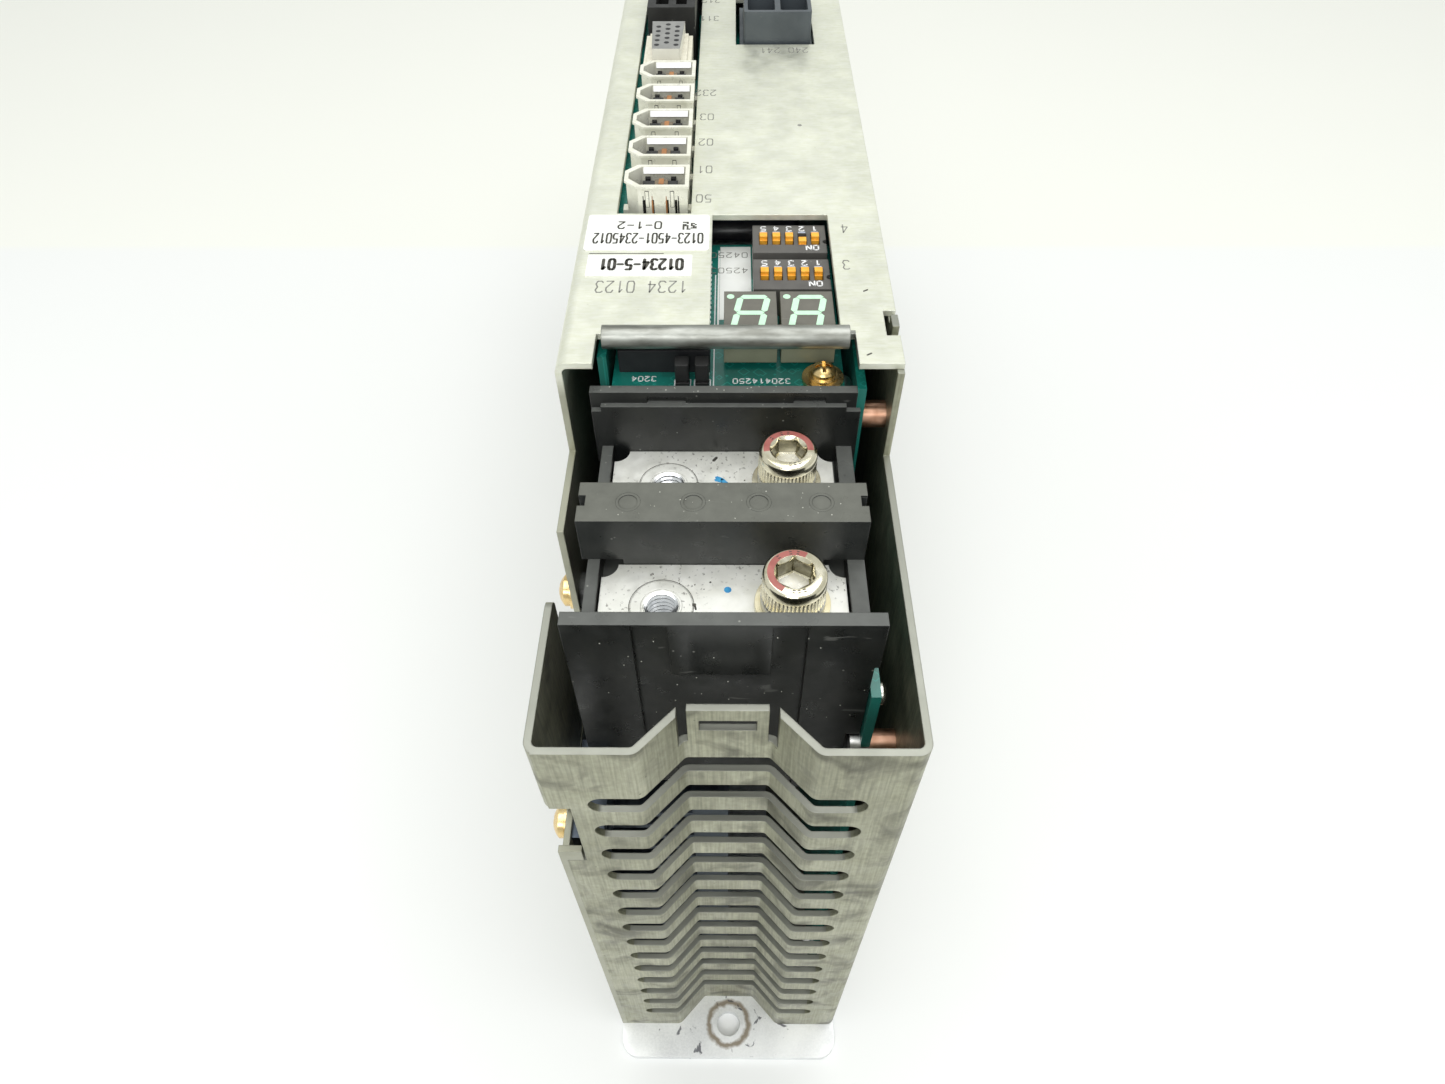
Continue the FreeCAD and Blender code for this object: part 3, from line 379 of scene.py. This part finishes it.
# ---- detail pieces ----------------------------------------------------------------------
# Levels along Z and places in the plane, in millimetres, as the CAD has them.
PANEL = 187.0
LABEL = PANEL + 0.14
DISPLAY = 179.0
DIP_FACE = 185.0
DIGIT_FACE = 186.0
BAR_FACE = 168.0
SLAB_TOP, BLOCK_TOP = 178.7, 181.1
MONITOR_FACE = 193.3
MAIN_BOARD_FACE = 23.9                          # along X
HOLE_X, SCREW_X = -10.6, 10.1
BAYS = (24.9, 51.2)
WAYS, WAY_PITCH = 5, 2.54
DIP_X, DIP_ROWS = 11.75, (89.6, 101.4)
DIGIT_PITCH = 10.2
SOCKETS, SOCKET_START, SOCKET_PITCH = 5, 112.8, 12.05
SUNK = 0.05                                     # how deep a print or a small part sits in its face
GLYPHS = {                                      # strokes in a unit square
    "0": [[(0.15, 0), (0, 0.2), (0, 0.8), (0.15, 1), (0.85, 1), (1, 0.8), (1, 0.2), (0.85, 0), (0.15, 0)]],
    "1": [[(0.2, 0.75), (0.55, 1), (0.55, 0)]],
    "2": [[(0, 0.8), (0.2, 1), (0.8, 1), (1, 0.8), (1, 0.6), (0, 0), (1, 0)]],
    "3": [[(0, 0.9), (0.2, 1), (0.8, 1), (1, 0.8), (0.75, 0.52), (1, 0.25), (0.8, 0), (0.2, 0), (0, 0.12)]],
    "4": [[(0.75, 0), (0.75, 1), (0, 0.3), (1, 0.3)]],
    "5": [[(0.95, 1), (0.1, 1), (0.05, 0.58), (0.8, 0.6), (1, 0.4), (0.95, 0.15), (0.7, 0), (0, 0.05)]],
    "N": [[(0, 0), (0, 1), (1, 0), (1, 1)]],
    "-": [[(0, 0.5), (1, 0.5)]],
}
GLYPHS["O"] = GLYPHS["0"]


class Shape:
    """A mesh built up in millimetres; each face keeps the number of its material."""

    def __init__(self):
        self.mesh = bmesh.new()

    def face(self, corners, tint=0):
        made = self.mesh.faces.new(corners)
        made.material_index = tint
        return made

    def sweep(self, corners, push, tint=0):
        """Closed slab: a flat outline of (x, y, z) corners pushed along a vector."""
        near = [self.mesh.verts.new(corner) for corner in corners]
        far = [self.mesh.verts.new(Vector(corner) + Vector(push)) for corner in corners]
        self.face(far, tint)
        self.face(near[::-1], tint)
        for n in range(len(corners)):
            m = (n + 1) % len(corners)
            self.face((near[n], near[m], far[m], far[n]), tint)

    def prism(self, outline, low, high, tint=0):
        """Upright prism over an anticlockwise outline of (x, y) points."""
        self.sweep([(x, y, low) for x, y in outline], (0, 0, high - low), tint)

    def box(self, x, y, z, tint=0):
        self.prism([(x[0], y[0]), (x[1], y[0]), (x[1], y[1]), (x[0], y[1])], z[0], z[1], tint)

    def disc(self, centre, radius, low, high, tint=0, sides=20):
        turns = [2 * math.pi * n / sides for n in range(sides)]
        self.prism([(centre[0] + radius * math.cos(t), centre[1] + radius * math.sin(t))
                    for t in turns], low, high, tint)

    def stroke(self, points, width, low, high, tint=0):
        """Flat line through the points, pointed at both ends of every stretch."""
        for start, end in zip(points, points[1:]):
            run = Vector((end[0] - start[0], end[1] - start[1]))
            along = run.normalized() * width / 2
            side = Vector((-along.y, along.x))
            a, b = Vector(start), Vector(end)
            outline = [a - along * 0.8, a + along * 0.1 - side, b - along * 0.1 - side, b + along * 0.8,
                       b - along * 0.1 + side, a + along * 0.1 + side]
            self.prism([tuple(p) for p in outline], low, high, tint)

    def text(self, glyphs, right, base, size, width, low, high, tint=0, wide=0.62):
        """Generic numerals, upside down: they start at the right and their tops point to -Y."""
        step = size * wide * 1.5
        for n, glyph in enumerate(glyphs):
            for line in GLYPHS.get(glyph, []):
                points = [(right - n * step - x * size * wide, base - y * size) for x, y in line]
                self.stroke(points, width, low, high, tint)

    def turned(self, centre, profile, sides=96, tint=None, closed=False, loop=False, spin=0.0,
               floor=0):
        """A profile of (radius, z, kind) turned about an upright axis, capped or run back to its start.

        Kind is round, knurl or hex; tint chooses the material from the step and the angle.
        """
        rings = []
        for radius, z, kind in profile:
            ring = []
            for n in range(sides):
                turn = 2 * math.pi * n / sides
                reach = radius
                if kind == "knurl":
                    reach = radius - (0.0, 0.12, 0.22, 0.12)[n % 4]
                if kind == "hex":
                    reach = radius / math.cos((turn + spin + math.pi / 6) % (math.pi / 3) - math.pi / 6)
                ring.append(self.mesh.verts.new((centre[0] + reach * math.cos(turn),
                                                 centre[1] + reach * math.sin(turn), z)))
            rings.append(ring)
        if loop:
            rings.append(rings[0])
        for step, (lower, upper) in enumerate(zip(rings, rings[1:])):
            for n in range(sides):
                m = (n + 1) % sides
                number = tint(step, 360.0 * (n + 0.5) / sides) if tint else 0
                self.face((lower[n], lower[m], upper[m], upper[n]), number)
        if closed:
            self.face(rings[0][::-1])
            self.face(rings[-1], floor)

    def finish(self, name, looks, body=BODY, smooth=False):
        self.mesh.transform(Matrix.Scale(MM, 4))
        bmesh.ops.recalc_face_normals(self.mesh, faces=self.mesh.faces)
        data = bpy.data.meshes.new(name)
        self.mesh.to_mesh(data)
        self.mesh.free()
        for look in looks:
            data.materials.append(LOOKS[look])
        if smooth:
            data.shade_smooth()
            data.set_sharp_from_angle(angle=math.radians(32))
        piece = bpy.data.objects.new(name, data)
        bpy.context.scene.collection.objects.link(piece)
        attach(piece, body)
        return piece


def cap_screws():
    """Knurled socket cap screws with paint marks on the rim; the hex walls of the key socket carry painted
    shade and its floor painted light.
    """
    shape = Shape()
    marks = ((60, 240), (-5, 190))              # degrees that the paint covers on each rim
    rim, key_wall = 11, 14                      # steps of the profile
    rounded = [(2.2, 154.8, "round"), (2.95, 155.6, "round"), (2.95, 170.8, "round"), (4.75, 170.8, "round"),
               (5.0, 171.1, "knurl"), (5.0, 174.5, "knurl"), (4.9, 174.65, "round"), (4.99, 174.9, "round"),
               (4.99, 175.9, "round"), (4.9, 176.4, "round"), (4.62, 176.76, "round"),
               (4.25, 176.9, "round"), (3.2, 176.9, "round"), (2.62, 176.4, "hex"), (2.55, 176.2, "hex"),
               (2.55, 173.5, "hex"), (2.3, 173.3, "hex")]
    for y, (start, end) in zip(BAYS, marks):

        def tint(step, turn):
            painted = (turn - start) % 360 <= end - start
            # The hex walls of the key socket take a darker nickel as painted shade.
            if step == key_wall:
                return 3
            return 1 if painted and step == rim else 0

        # floor=4 gives the floor of the key socket a near-white painted light.
        shape.turned((SCREW_X, y), rounded, 192, tint, closed=True, floor=4,
                     spin=math.pi / 6 if start < 0 else 0.0)
        for turn in (78, 96, 128, 262, 274, 287):
            middle = math.radians(turn + (8 if start < 0 else 0))
            for reach in (3.5, 3.95):
                spot = (SCREW_X + reach * math.cos(middle), y + reach * math.sin(middle))
                aside = (spot[0] - 0.35 * math.sin(middle), spot[1] + 0.35 * math.cos(middle))
                shape.stroke([spot, aside], 0.16, 176.85, 176.93, 2)
    piece = shape.finish("cap_screws_detailed",
                         ["cap_screw_nickel", "paint_red", "mark_dark", "nickel_painted_shade", "socket_floor_painted_light"],
                         smooth=True)
    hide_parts("terminal_screws")


def bar_threads():
    """Cut threads of the two bus bar holes and the collar that carries them, with painted shade in the thread
    roots.
    """
    shape = Shape()
    foot = 158.2                                # where the thread starts below the bus bar
    for y in BAYS:
        profile = []
        for turn in range(10):
            z = foot + turn
            profile += [(2.84, z, "round"), (2.84, z + 0.25, "round"), (2.38, z + 0.55, "round"),
                        (2.38, z + 0.68, "round")]
        profile += [(2.74, BAR_FACE - 0.04, "round"), (2.95, BAR_FACE + 0.02, "round"), (2.95, foot, "round")]
        # The root of every turn takes the dark mark tone: painted shade in the thread grooves.
        shape.turned((HOLE_X, y), profile, 64, lambda step, turn: 1 if step % 4 == 0 and step < 39 else 0,
                     loop=True)
    shape.finish("busbar_thread_flanks", ["thread_bright", "mark_dark"], smooth=True)


def bar_marks():
    """Embossed ring round each hole with a line of painted shade at its foot, blue ink spots, rust and pits
    on the bus bars.
    """
    shape = Shape()
    under, film = BAR_FACE - 0.02, BAR_FACE + 0.03
    for y in BAYS:
        shape.turned((HOLE_X, y), [(3.2, under, "round"), (3.35, BAR_FACE + 0.05, "round"),
                                   (4.9, BAR_FACE + 0.05, "round"), (5.1, under, "round")], 96, loop=True)
        # A thin dark ring round the foot of each embossed ring: painted shade.
        shape.turned((HOLE_X, y), [(5.1, under, "round"), (5.1, BAR_FACE + 0.015, "round"),
                                   (5.22, BAR_FACE + 0.015, "round"), (5.22, under, "round")], 96,
                     lambda step, turn: 1, loop=True)
        shape.stroke([(HOLE_X + 4.9, y + 0.4), (HOLE_X + 5.3, y + 0.2), (HOLE_X + 5.5, y - 0.7)], 0.3,
                     BAR_FACE, BAR_FACE + 0.04, 1)
        shape.disc((HOLE_X + 5.2, y + 0.2), 0.34, BAR_FACE, BAR_FACE + 0.05, 1, 7)
    for x, y in ((-5.4, 29.1), (-3.9, 28.2), (-2.9, 29.6), (-7.9, 29.4), (-6.6, 23.4), (-5.8, 23.9),
                 (-12.2, 31.2), (5.4, 30.4), (-5.0, 57.4), (2.8, 52.2), (-13.6, 52.6), (-3.2, 55.2)):
        shape.disc((x, y), random.uniform(0.1, 0.22), BAR_FACE, film, 1, 6)
    shape.stroke([(-2.8, 57.0), (-2.2, 57.9)], 0.55, BAR_FACE, film, 1)
    shape.disc((-0.1, 28.1), 0.62, BAR_FACE, film, 2, 9)
    shape.stroke([(-2.2, 52.9), (-1.2, 52.4), (-0.3, 51.2)], 0.7, BAR_FACE, BAR_FACE + 0.035, 2)
    shape.stroke([(-2.4, 52.3), (-1.2, 51.9), (-0.3, 51.6)], 0.55, BAR_FACE, film, 2)
    shape.finish("busbar_marks", ["busbar_tin", "mark_dark", "ink_blue"])


def digit_segments():
    """Slanted segments and decimal points of the two digits."""
    shape = Shape()
    low, high = DIGIT_FACE - SUNK, DIGIT_FACE + 0.04
    for shift in (0.0, DIGIT_PITCH):
        lines = [((2.5, 81.0), (6.5, 81.0)), ((2.0, 80.4), (1.4, 77.0)), ((6.9, 80.3), (6.3, 77.0)),
                 ((1.75, 76.3), (5.85, 76.3)), ((1.35, 75.6), (0.75, 72.2)), ((6.2, 75.6), (5.6, 72.2)),
                 ((1.1, 71.5), (5.2, 71.5))]
        for a, b in lines:
            shape.stroke([(a[0] + shift, a[1]), (b[0] + shift, b[1])], 1.15, low, high)
        shape.disc((0.25 + shift, 81.1), 0.68, low, high)
    shape.finish("digit_segments", ["segment_mint"])


def switch_prints():
    """Way numbers, the word for the closed side and end flats of the two DIP switches."""
    shape = Shape()
    low, high = DIP_FACE - SUNK, DIP_FACE + 0.03
    middle = (WAYS + 1) // 2
    for y in DIP_ROWS:
        for number in range(1, WAYS + 1):
            x = DIP_X + WAY_PITCH * (middle - number)
            shape.text(str(number), x + 0.5, y + 4.35, 1.55, 0.28, low, high)
            shape.box((x - 0.7, x + 0.7), (y + 2.02, y + 2.55), (low, high), 1)
        shape.text("ON", 17.3, y - 2.3, 1.5, 0.28, low, high)
    shape.finish("switch_prints", ["print_white", "print_pale"])


def board_prints():
    """White silkscreen of the display board, solder joints and the sticker's grey lines."""
    shape = Shape()
    low, high = DISPLAY - SUNK, DISPLAY + 0.04
    frame_y, line = 64.0, 0.22
    for start in (-9.6, -6.1):
        corners = ((0, 0), (2.8, 0), (2.8, 2.4), (0, 2.4), (0, 0))
        for a, b in zip(corners, corners[1:]):
            shape.stroke([(start + a[0], frame_y + a[1]), (start + b[0], frame_y + b[1])], line, low, high)
    for x, y, count in ((-13.0, 67.2, 4), (10.8, 66.6, 9)):
        shape.text("320414250"[:count], x, y, 1.25, 0.2, low, high)
    shape.stroke([(-2.75, frame_y), (-2.75, 98.0)], line, low, high)
    for n in range(26):
        y = 64.5 + 1.5 * n
        shape.box((-3.9, -3.5), (y, y + 0.8), (low, high))
    shape.box((-2.3, -1.95), (79.0, 106.5), (low, high + 0.05), 1)
    for row in range(2):
        shape.text("04250312"[row:row + 5], 3.6, 105.7 - 5.4 * row, 1.7, 0.18, high + 0.06, high + 0.1, 2)
    for n in range(14):
        shape.disc((-19.0 + WAY_PITCH * (n % 5), 77.0 + 2.0 * (n // 5)), 0.55, low, high + 0.1, 3, 12)
    shape.finish("display_board_prints", ["print_white", "label_white", "print_grey", "contact_tin"])


def panel_prints():
    """Grey function marks on the panel and the generic rows on the two labels."""
    shape = Shape()
    low, high = PANEL - SUNK, PANEL + 0.03
    for glyphs, right, base in (("50", -3.8, 114.3), ("01", -3.8, 125.8), ("02", -3.8, 137.5),
                                ("03", -3.8, 149.1), ("232", -3.4, 161.0), ("311", -3.2, 204.0),
                                ("312", -3.0, 216.0), ("4", 23.0, 103.2), ("3", 22.4, 91.0),
                                ("240 241", 19.4, 184.2)):
        shape.text(glyphs, right, base, 2.8, 0.24, low, high, 0, 0.42)
    shape.disc((15.6, 143.7), 0.5, low, high, 0, 8)
    for x, y in ((24.3, 81.3), (23.3, 63.3)):
        shape.stroke([(x, y), (x + 0.8, y + 0.5)], 0.3, low, high, 1)
    shape.stroke([(-26.6, 93.3), (-12.5, 93.3)], 0.18, low, high, 1)
    ink = LABEL + 0.05
    shape.text("0123-4501-2345012", -5.2, 99.9, 3.3, 0.36, LABEL, ink, 1, 0.255)
    shape.text("0-1-2", -13.4, 104.0, 2.4, 0.34, LABEL, ink, 1, 0.5)
    side, step, dot, filled = 7, 0.4, 0.38, 0.55      # random square code
    for n in range(side * side):
        if random.random() < filled:
            x, y = -9.2 + step * (n % side), 101.2 + step * (n // side)
            shape.box((x, x + dot), (y, y + dot), (LABEL, ink), 1)
    shape.text("01234-5-01", -8.8, 91.2, 3.3, 0.62, LABEL, ink, 1, 0.32)
    shape.text("1234 0123", -7.8, 84.4, 3.4, 0.28, low, high, 0, 0.375)
    shape.finish("panel_prints", ["print_grey", "mark_dark"])


def display_board_parts():
    """Small chips on the display board, each with a bright end on both sides."""
    shape = Shape()
    low = DISPLAY - SUNK
    for x, y, w, h in ((-17.5, 78.5, 1.6, 0.8), (-12.0, 80.0, 0.8, 1.6), (-15.0, 86.0, 3.0, 2.2),
                       (-8.0, 84.0, 1.2, 2.0), (18.9, 92.0, 0.8, 1.6), (18.9, 96.5, 0.8, 1.6),
                       (-11.0, 92.0, 5.0, 4.0), (-17.0, 95.0, 1.6, 0.8)):
        shape.box((x, x + w), (y, y + h), (low, DISPLAY + 0.7))
        shape.box((x - 0.25, x), (y, y + h), (low, DISPLAY + 0.5), 1)
        shape.box((x + w, x + w + 0.25), (y, y + h), (low, DISPLAY + 0.5), 1)
    shape.finish("display_board_parts", ["chip_black", "contact_tin"])


def main_board_parts():
    """Small parts on the outer face of the main board, each with a bright end on both sides."""
    shape = Shape()
    low = MAIN_BOARD_FACE - SUNK
    for y, z, h, w in ((22.0, 140.0, 2.4, 1.4), (26.0, 146.0, 1.2, 2.4), (34.0, 138.0, 3.4, 3.0),
                       (44.0, 148.0, 1.2, 2.0), (52.0, 141.0, 2.4, 1.4), (30.0, 120.0, 5.0, 4.0),
                       (48.0, 118.0, 2.4, 1.4), (70.0, 160.0, 2.4, 1.4), (82.0, 168.0, 1.6, 3.0)):
        shape.box((low, low + 0.9), (y, y + h), (z, z + w))
        shape.box((low, low + 0.5), (y - 0.4, y), (z, z + w), 1)
        shape.box((low, low + 0.5), (y + h, y + h + 0.4), (z, z + w), 1)
    shape.finish("main_board_parts", ["chip_black", "contact_tin"])


def wall_screw_end():
    """Rounded end of the lowest main board screw, on the outer face of the main board."""
    shape = Shape()
    shape.turned((0, 0), [(1.9, 0, "round"), (1.9, 0.5, "round"), (1.5, 0.9, "round"), (0.9, 1.1, "round"),
                          (0.3, 1.15, "round")], 32, closed=True)
    place = (MAIN_BOARD_FACE, 14.9, 158.4)
    shape.mesh.transform(Matrix.Translation(place) @ Matrix.Rotation(math.pi / 2, 4, "Y"))
    shape.finish("main_board_screw_end", ["contact_tin"], smooth=True)


def socket_details():
    """Contact windows, bright bands of painted highlight and slits of the sockets, the slits partly rust and
    partly painted shade; holes of the monitor connector as black discs of painted shade.
    """
    shape = Shape()
    holes_each, column = 3, 5                   # the fifteen holes come three with each socket
    for index in range(SOCKETS):
        y = SOCKET_START + SOCKET_PITCH * index
        left, right = -17.4, -9.2
        # A near-white band along the top of each socket: painted highlight.
        shape.sweep([(left, y + 2.75, 190.9), (right, y + 2.75, 190.9), (right, y + 3.4, 191.9),
                     (left, y + 3.4, 191.9)], (0, 0.05, -0.06))
        shape.box((-15.0, -12.4), (y - 0.95, y + 0.95), (188.6, 190.6), 1)
        shape.box((-14.2, -13.2), (y - 1.05, y + 1.05), (189.0, 190.8), 2)
        for x in (-16.6, -11.4):
            shape.box((x - 0.5, x + 0.5), (y + 2.5, y + 3.3), (186.0, 190.0), 3)
        # The outer slits are black as painted shade, the inner ones rust.
        for x, tint in ((-17.2, 3), (-15.4, 2), (-12.6, 2), (-10.2, 3)):
            shape.box((x - 0.15, x + 0.15), (y - 3.98, y - 3.88), (185.6, 188.8), tint)
            shape.box((x - 0.07, x + 0.07), (y - 3.97, y - 3.88), (188.8, 189.8), tint)
        for n in range(holes_each * index, holes_each * (index + 1)):
            shift = 1.3 if n // column == 1 else 0
            hole = (-17.5 + 2.3 * (n // column), 169.9 + 2.6 * (n % column) + shift)
            # Black discs stand for the connector's holes as painted shade.
            shape.disc(hole, 0.62, MONITOR_FACE, MONITOR_FACE + 0.33, 3, 12)
        for x in (-16.4, -11.4):
            # Each metal strip sits in a black border of painted shade.
            for half, low, high, out, tint in ((0.40, 187.4, 190.9, 3.97, 3), (0.31, 187.5, 190.8, 3.99, 4)):
                shape.box((x - half, x + half), (y - out, y - 3.89), (low, high), tint)
    shape.finish("socket_details",
                 ["socket_painted_highlight", "contact_copper", "rust_brown", "chip_black", "socket_metal"])


def block_dust():
    """Light dust on the terminal block and its barrier slab, and the rings moulded on the slab."""
    shape = Shape()
    for n in range(46):
        x = random.uniform(-23.4, 21.6)
        y = random.choice((random.uniform(33.8, 41.2), random.uniform(60.7, 62.1)))
        z = SLAB_TOP if y < 50 else BLOCK_TOP
        shape.disc((x, y), random.uniform(0.05, 0.13), z - 0.03, z + 0.02, 0, 5)
    foot, crest = SLAB_TOP - 0.04, SLAB_TOP + 0.02
    for x in (-15.9, -5.6, 4.8, 14.7):
        shape.turned((x, 37.4), [(1.92, foot, "round"), (1.98, crest, "round"), (2.06, foot, "round")], 48,
                     lambda step, turn: 1, loop=True)
    grain = 0.16
    for n in range(26):
        x, z = random.uniform(-23.0, 21.5), random.uniform(150.0, 177.0)
        shape.box((x, x + grain), (13.86, 13.92), (z, z + grain))
    shape.finish("block_dust", ["dust_pale", "barrier_plastic"])


def details():
    """Adds the looks that only the detail pieces wear, then the pieces themselves."""
    LOOKS.update({
        "paint_red": glossy("paint_red", (0.30, 0.085, 0.07), (0.42, 0.14, 0.12), (0.35, 0.55)),
        # Darker nickel as painted shade on the socket walls; a near-white socket floor as painted light.
        "nickel_painted_shade": bright_metal("nickel_painted_shade", (0.16, 0.15, 0.11), (0.42, 0.40, 0.31), (0.15, 0.3)),
        "socket_floor_painted_light": bright_metal("socket_floor_painted_light", (0.80, 0.76, 0.60), (1.0, 0.99, 0.94), (0.2, 0.3),
                                     stains=0.15, metal=0.3),
        "thread_bright": bright_metal("thread_bright", (0.62, 0.64, 0.68), (0.90, 0.91, 0.93), (0.12, 0.2),
                                      stains=0.0, rounding=0),
        "mark_dark": glossy("mark_dark", (0.035, 0.033, 0.028), (0.08, 0.075, 0.06), (0.5, 0.7), 0),
        "ink_blue": glossy("ink_blue", (0.02, 0.22, 0.50), (0.06, 0.40, 0.72), (0.35, 0.5), 0),
        "segment_mint": glossy("segment_mint", (0.52, 0.82, 0.58), (0.60, 0.90, 0.66), (0.3, 0.45), 0.04),
        "print_white": glossy("print_white", (0.80, 0.80, 0.80), (0.92, 0.92, 0.92), (0.5, 0.6), 0),
        "print_pale": glossy("print_pale", (0.34, 0.38, 0.46), (0.46, 0.50, 0.58), (0.5, 0.6), 0),
        "print_grey": glossy("print_grey", (0.20, 0.20, 0.18), (0.30, 0.30, 0.27), (0.5, 0.6), 0),
        "contact_copper": glossy("contact_copper", (0.09, 0.07, 0.045), (0.20, 0.15, 0.09), (0.4, 0.5), 0.05),
        "rust_brown": glossy("rust_brown", (0.26, 0.10, 0.03), (0.44, 0.20, 0.07), (0.5, 0.7), 0),
        "dust_pale": glossy("dust_pale", (0.42, 0.42, 0.36), (0.60, 0.60, 0.54), (0.6, 0.8), 0),
        # Near-white painted highlight for the bands on the sockets.
        "socket_painted_highlight": glossy("socket_painted_highlight", (0.92, 0.92, 0.96), (1.0, 1.0, 1.0), (0.4, 0.5), 0.0),
    })
    cap_screws()
    bar_threads()
    bar_marks()
    digit_segments()
    switch_prints()
    board_prints()
    panel_prints()
    display_board_parts()
    main_board_parts()
    wall_screw_end()
    socket_details()
    block_dust()


# ---- setting ----------------------------------------------------------------------------
def camera():
    """Close wide-angle view from in front of the lower end, looking steeply down."""
    data = bpy.data.cameras.new("view")
    data.sensor_width = 36.0
    data.lens = 22.88
    data.clip_start = 0.005
    view = bpy.data.objects.new("view", data)
    bpy.context.scene.collection.objects.link(view)
    heading, below_level, bank = 0.81, 50.451, -0.496      # degrees
    turn = Matrix.Rotation(math.radians(heading), 4, "Z")
    tilt = Matrix.Rotation(math.radians(90 - below_level), 4, "X")
    roll = Matrix.Rotation(math.radians(bank), 4, "Z")
    view.matrix_world = Matrix.Translation(Vector((0.373, -59.749, 286.446)) * MM) @ turn @ tilt @ roll
    bpy.context.scene.camera = view


def floor():
    """Pale table top under the plate, a little warmer beyond Y 385 mm."""
    look = Look("table", {"Specular IOR Level": 0.3})
    far = look.ramp(look.math("ADD", look.position_part(1), -0.05), (0.335, 0), (0.338, 1))
    tone = look.mix(look.noise(300, 2), (0.83, 0.835, 0.83), (0.86, 0.865, 0.86))
    look.colour(look.mix(far, tone, (0.86, 0.86, 0.81)))
    look.roughness(look.ramp(look.noise(60, 3), (0.3, 0.45), (0.7, 0.55)))
    mesh = bpy.data.meshes.new("table")
    reach = 3.0
    mesh.from_pydata([(-reach, -reach, 0), (reach, -reach, 0), (reach, reach, 0), (-reach, reach, 0)], [],
                     [(0, 1, 2, 3)])
    mesh.materials.append(look.material)
    table = bpy.data.objects.new("table", mesh)
    bpy.context.scene.collection.objects.link(table)


def soft_light(name, power, size, place, aim):
    """Rectangular lamp in watts and metres, turned towards a point."""
    data = bpy.data.lights.new(name, "AREA")
    data.shape = "RECTANGLE"
    data.size, data.size_y = size
    data.energy = power
    lamp = bpy.data.objects.new(name, data)
    lamp.location = place
    lamp.rotation_euler = (Vector(aim) - Vector(place)).to_track_quat("-Z", "Y").to_euler()
    bpy.context.scene.collection.objects.link(lamp)


def lighting():
    """Even white room, faintly darker in front, with a large lamp above and a small one in front."""
    world = bpy.data.worlds.new("studio")
    world.use_nodes = True
    tree = world.node_tree
    place = tree.nodes.new("ShaderNodeTexCoord")
    split = tree.nodes.new("ShaderNodeSeparateXYZ")
    shift = tree.nodes.new("ShaderNodeMath")
    shift.operation = "MULTIPLY_ADD"
    shift.inputs[1].default_value = 0.5
    shift.inputs[2].default_value = 0.5
    room = tree.nodes.new("ShaderNodeValToRGB")
    tree.links.new(place.outputs["Generated"], split.inputs["Vector"])
    tree.links.new(split.outputs["Y"], shift.inputs[0])
    tree.links.new(shift.outputs["Value"], room.inputs["Fac"])
    tree.links.new(room.outputs["Color"], tree.nodes["Background"].inputs["Color"])
    dim, bright = room.color_ramp.elements
    dim.position, dim.color = 0.0, (0.90, 0.93, 0.90, 1)
    bright.position, bright.color = 0.5, (0.97, 1.0, 0.97, 1)
    tree.nodes["Background"].inputs["Strength"].default_value = 0.75
    bpy.context.scene.world = world
    soft_light("overhead", 9.0, (1.2, 1.0), (0.1, 0.1, 1.3), (0, 0.08, 0))
    soft_light("front", 3.0, (0.5, 0.35), (-0.12, -0.75, 0.8), (0, 0.05, 0.1))
    bpy.context.scene.view_settings.view_transform = "Standard"


dress_nodes()
details()
camera()
floor()
lighting()
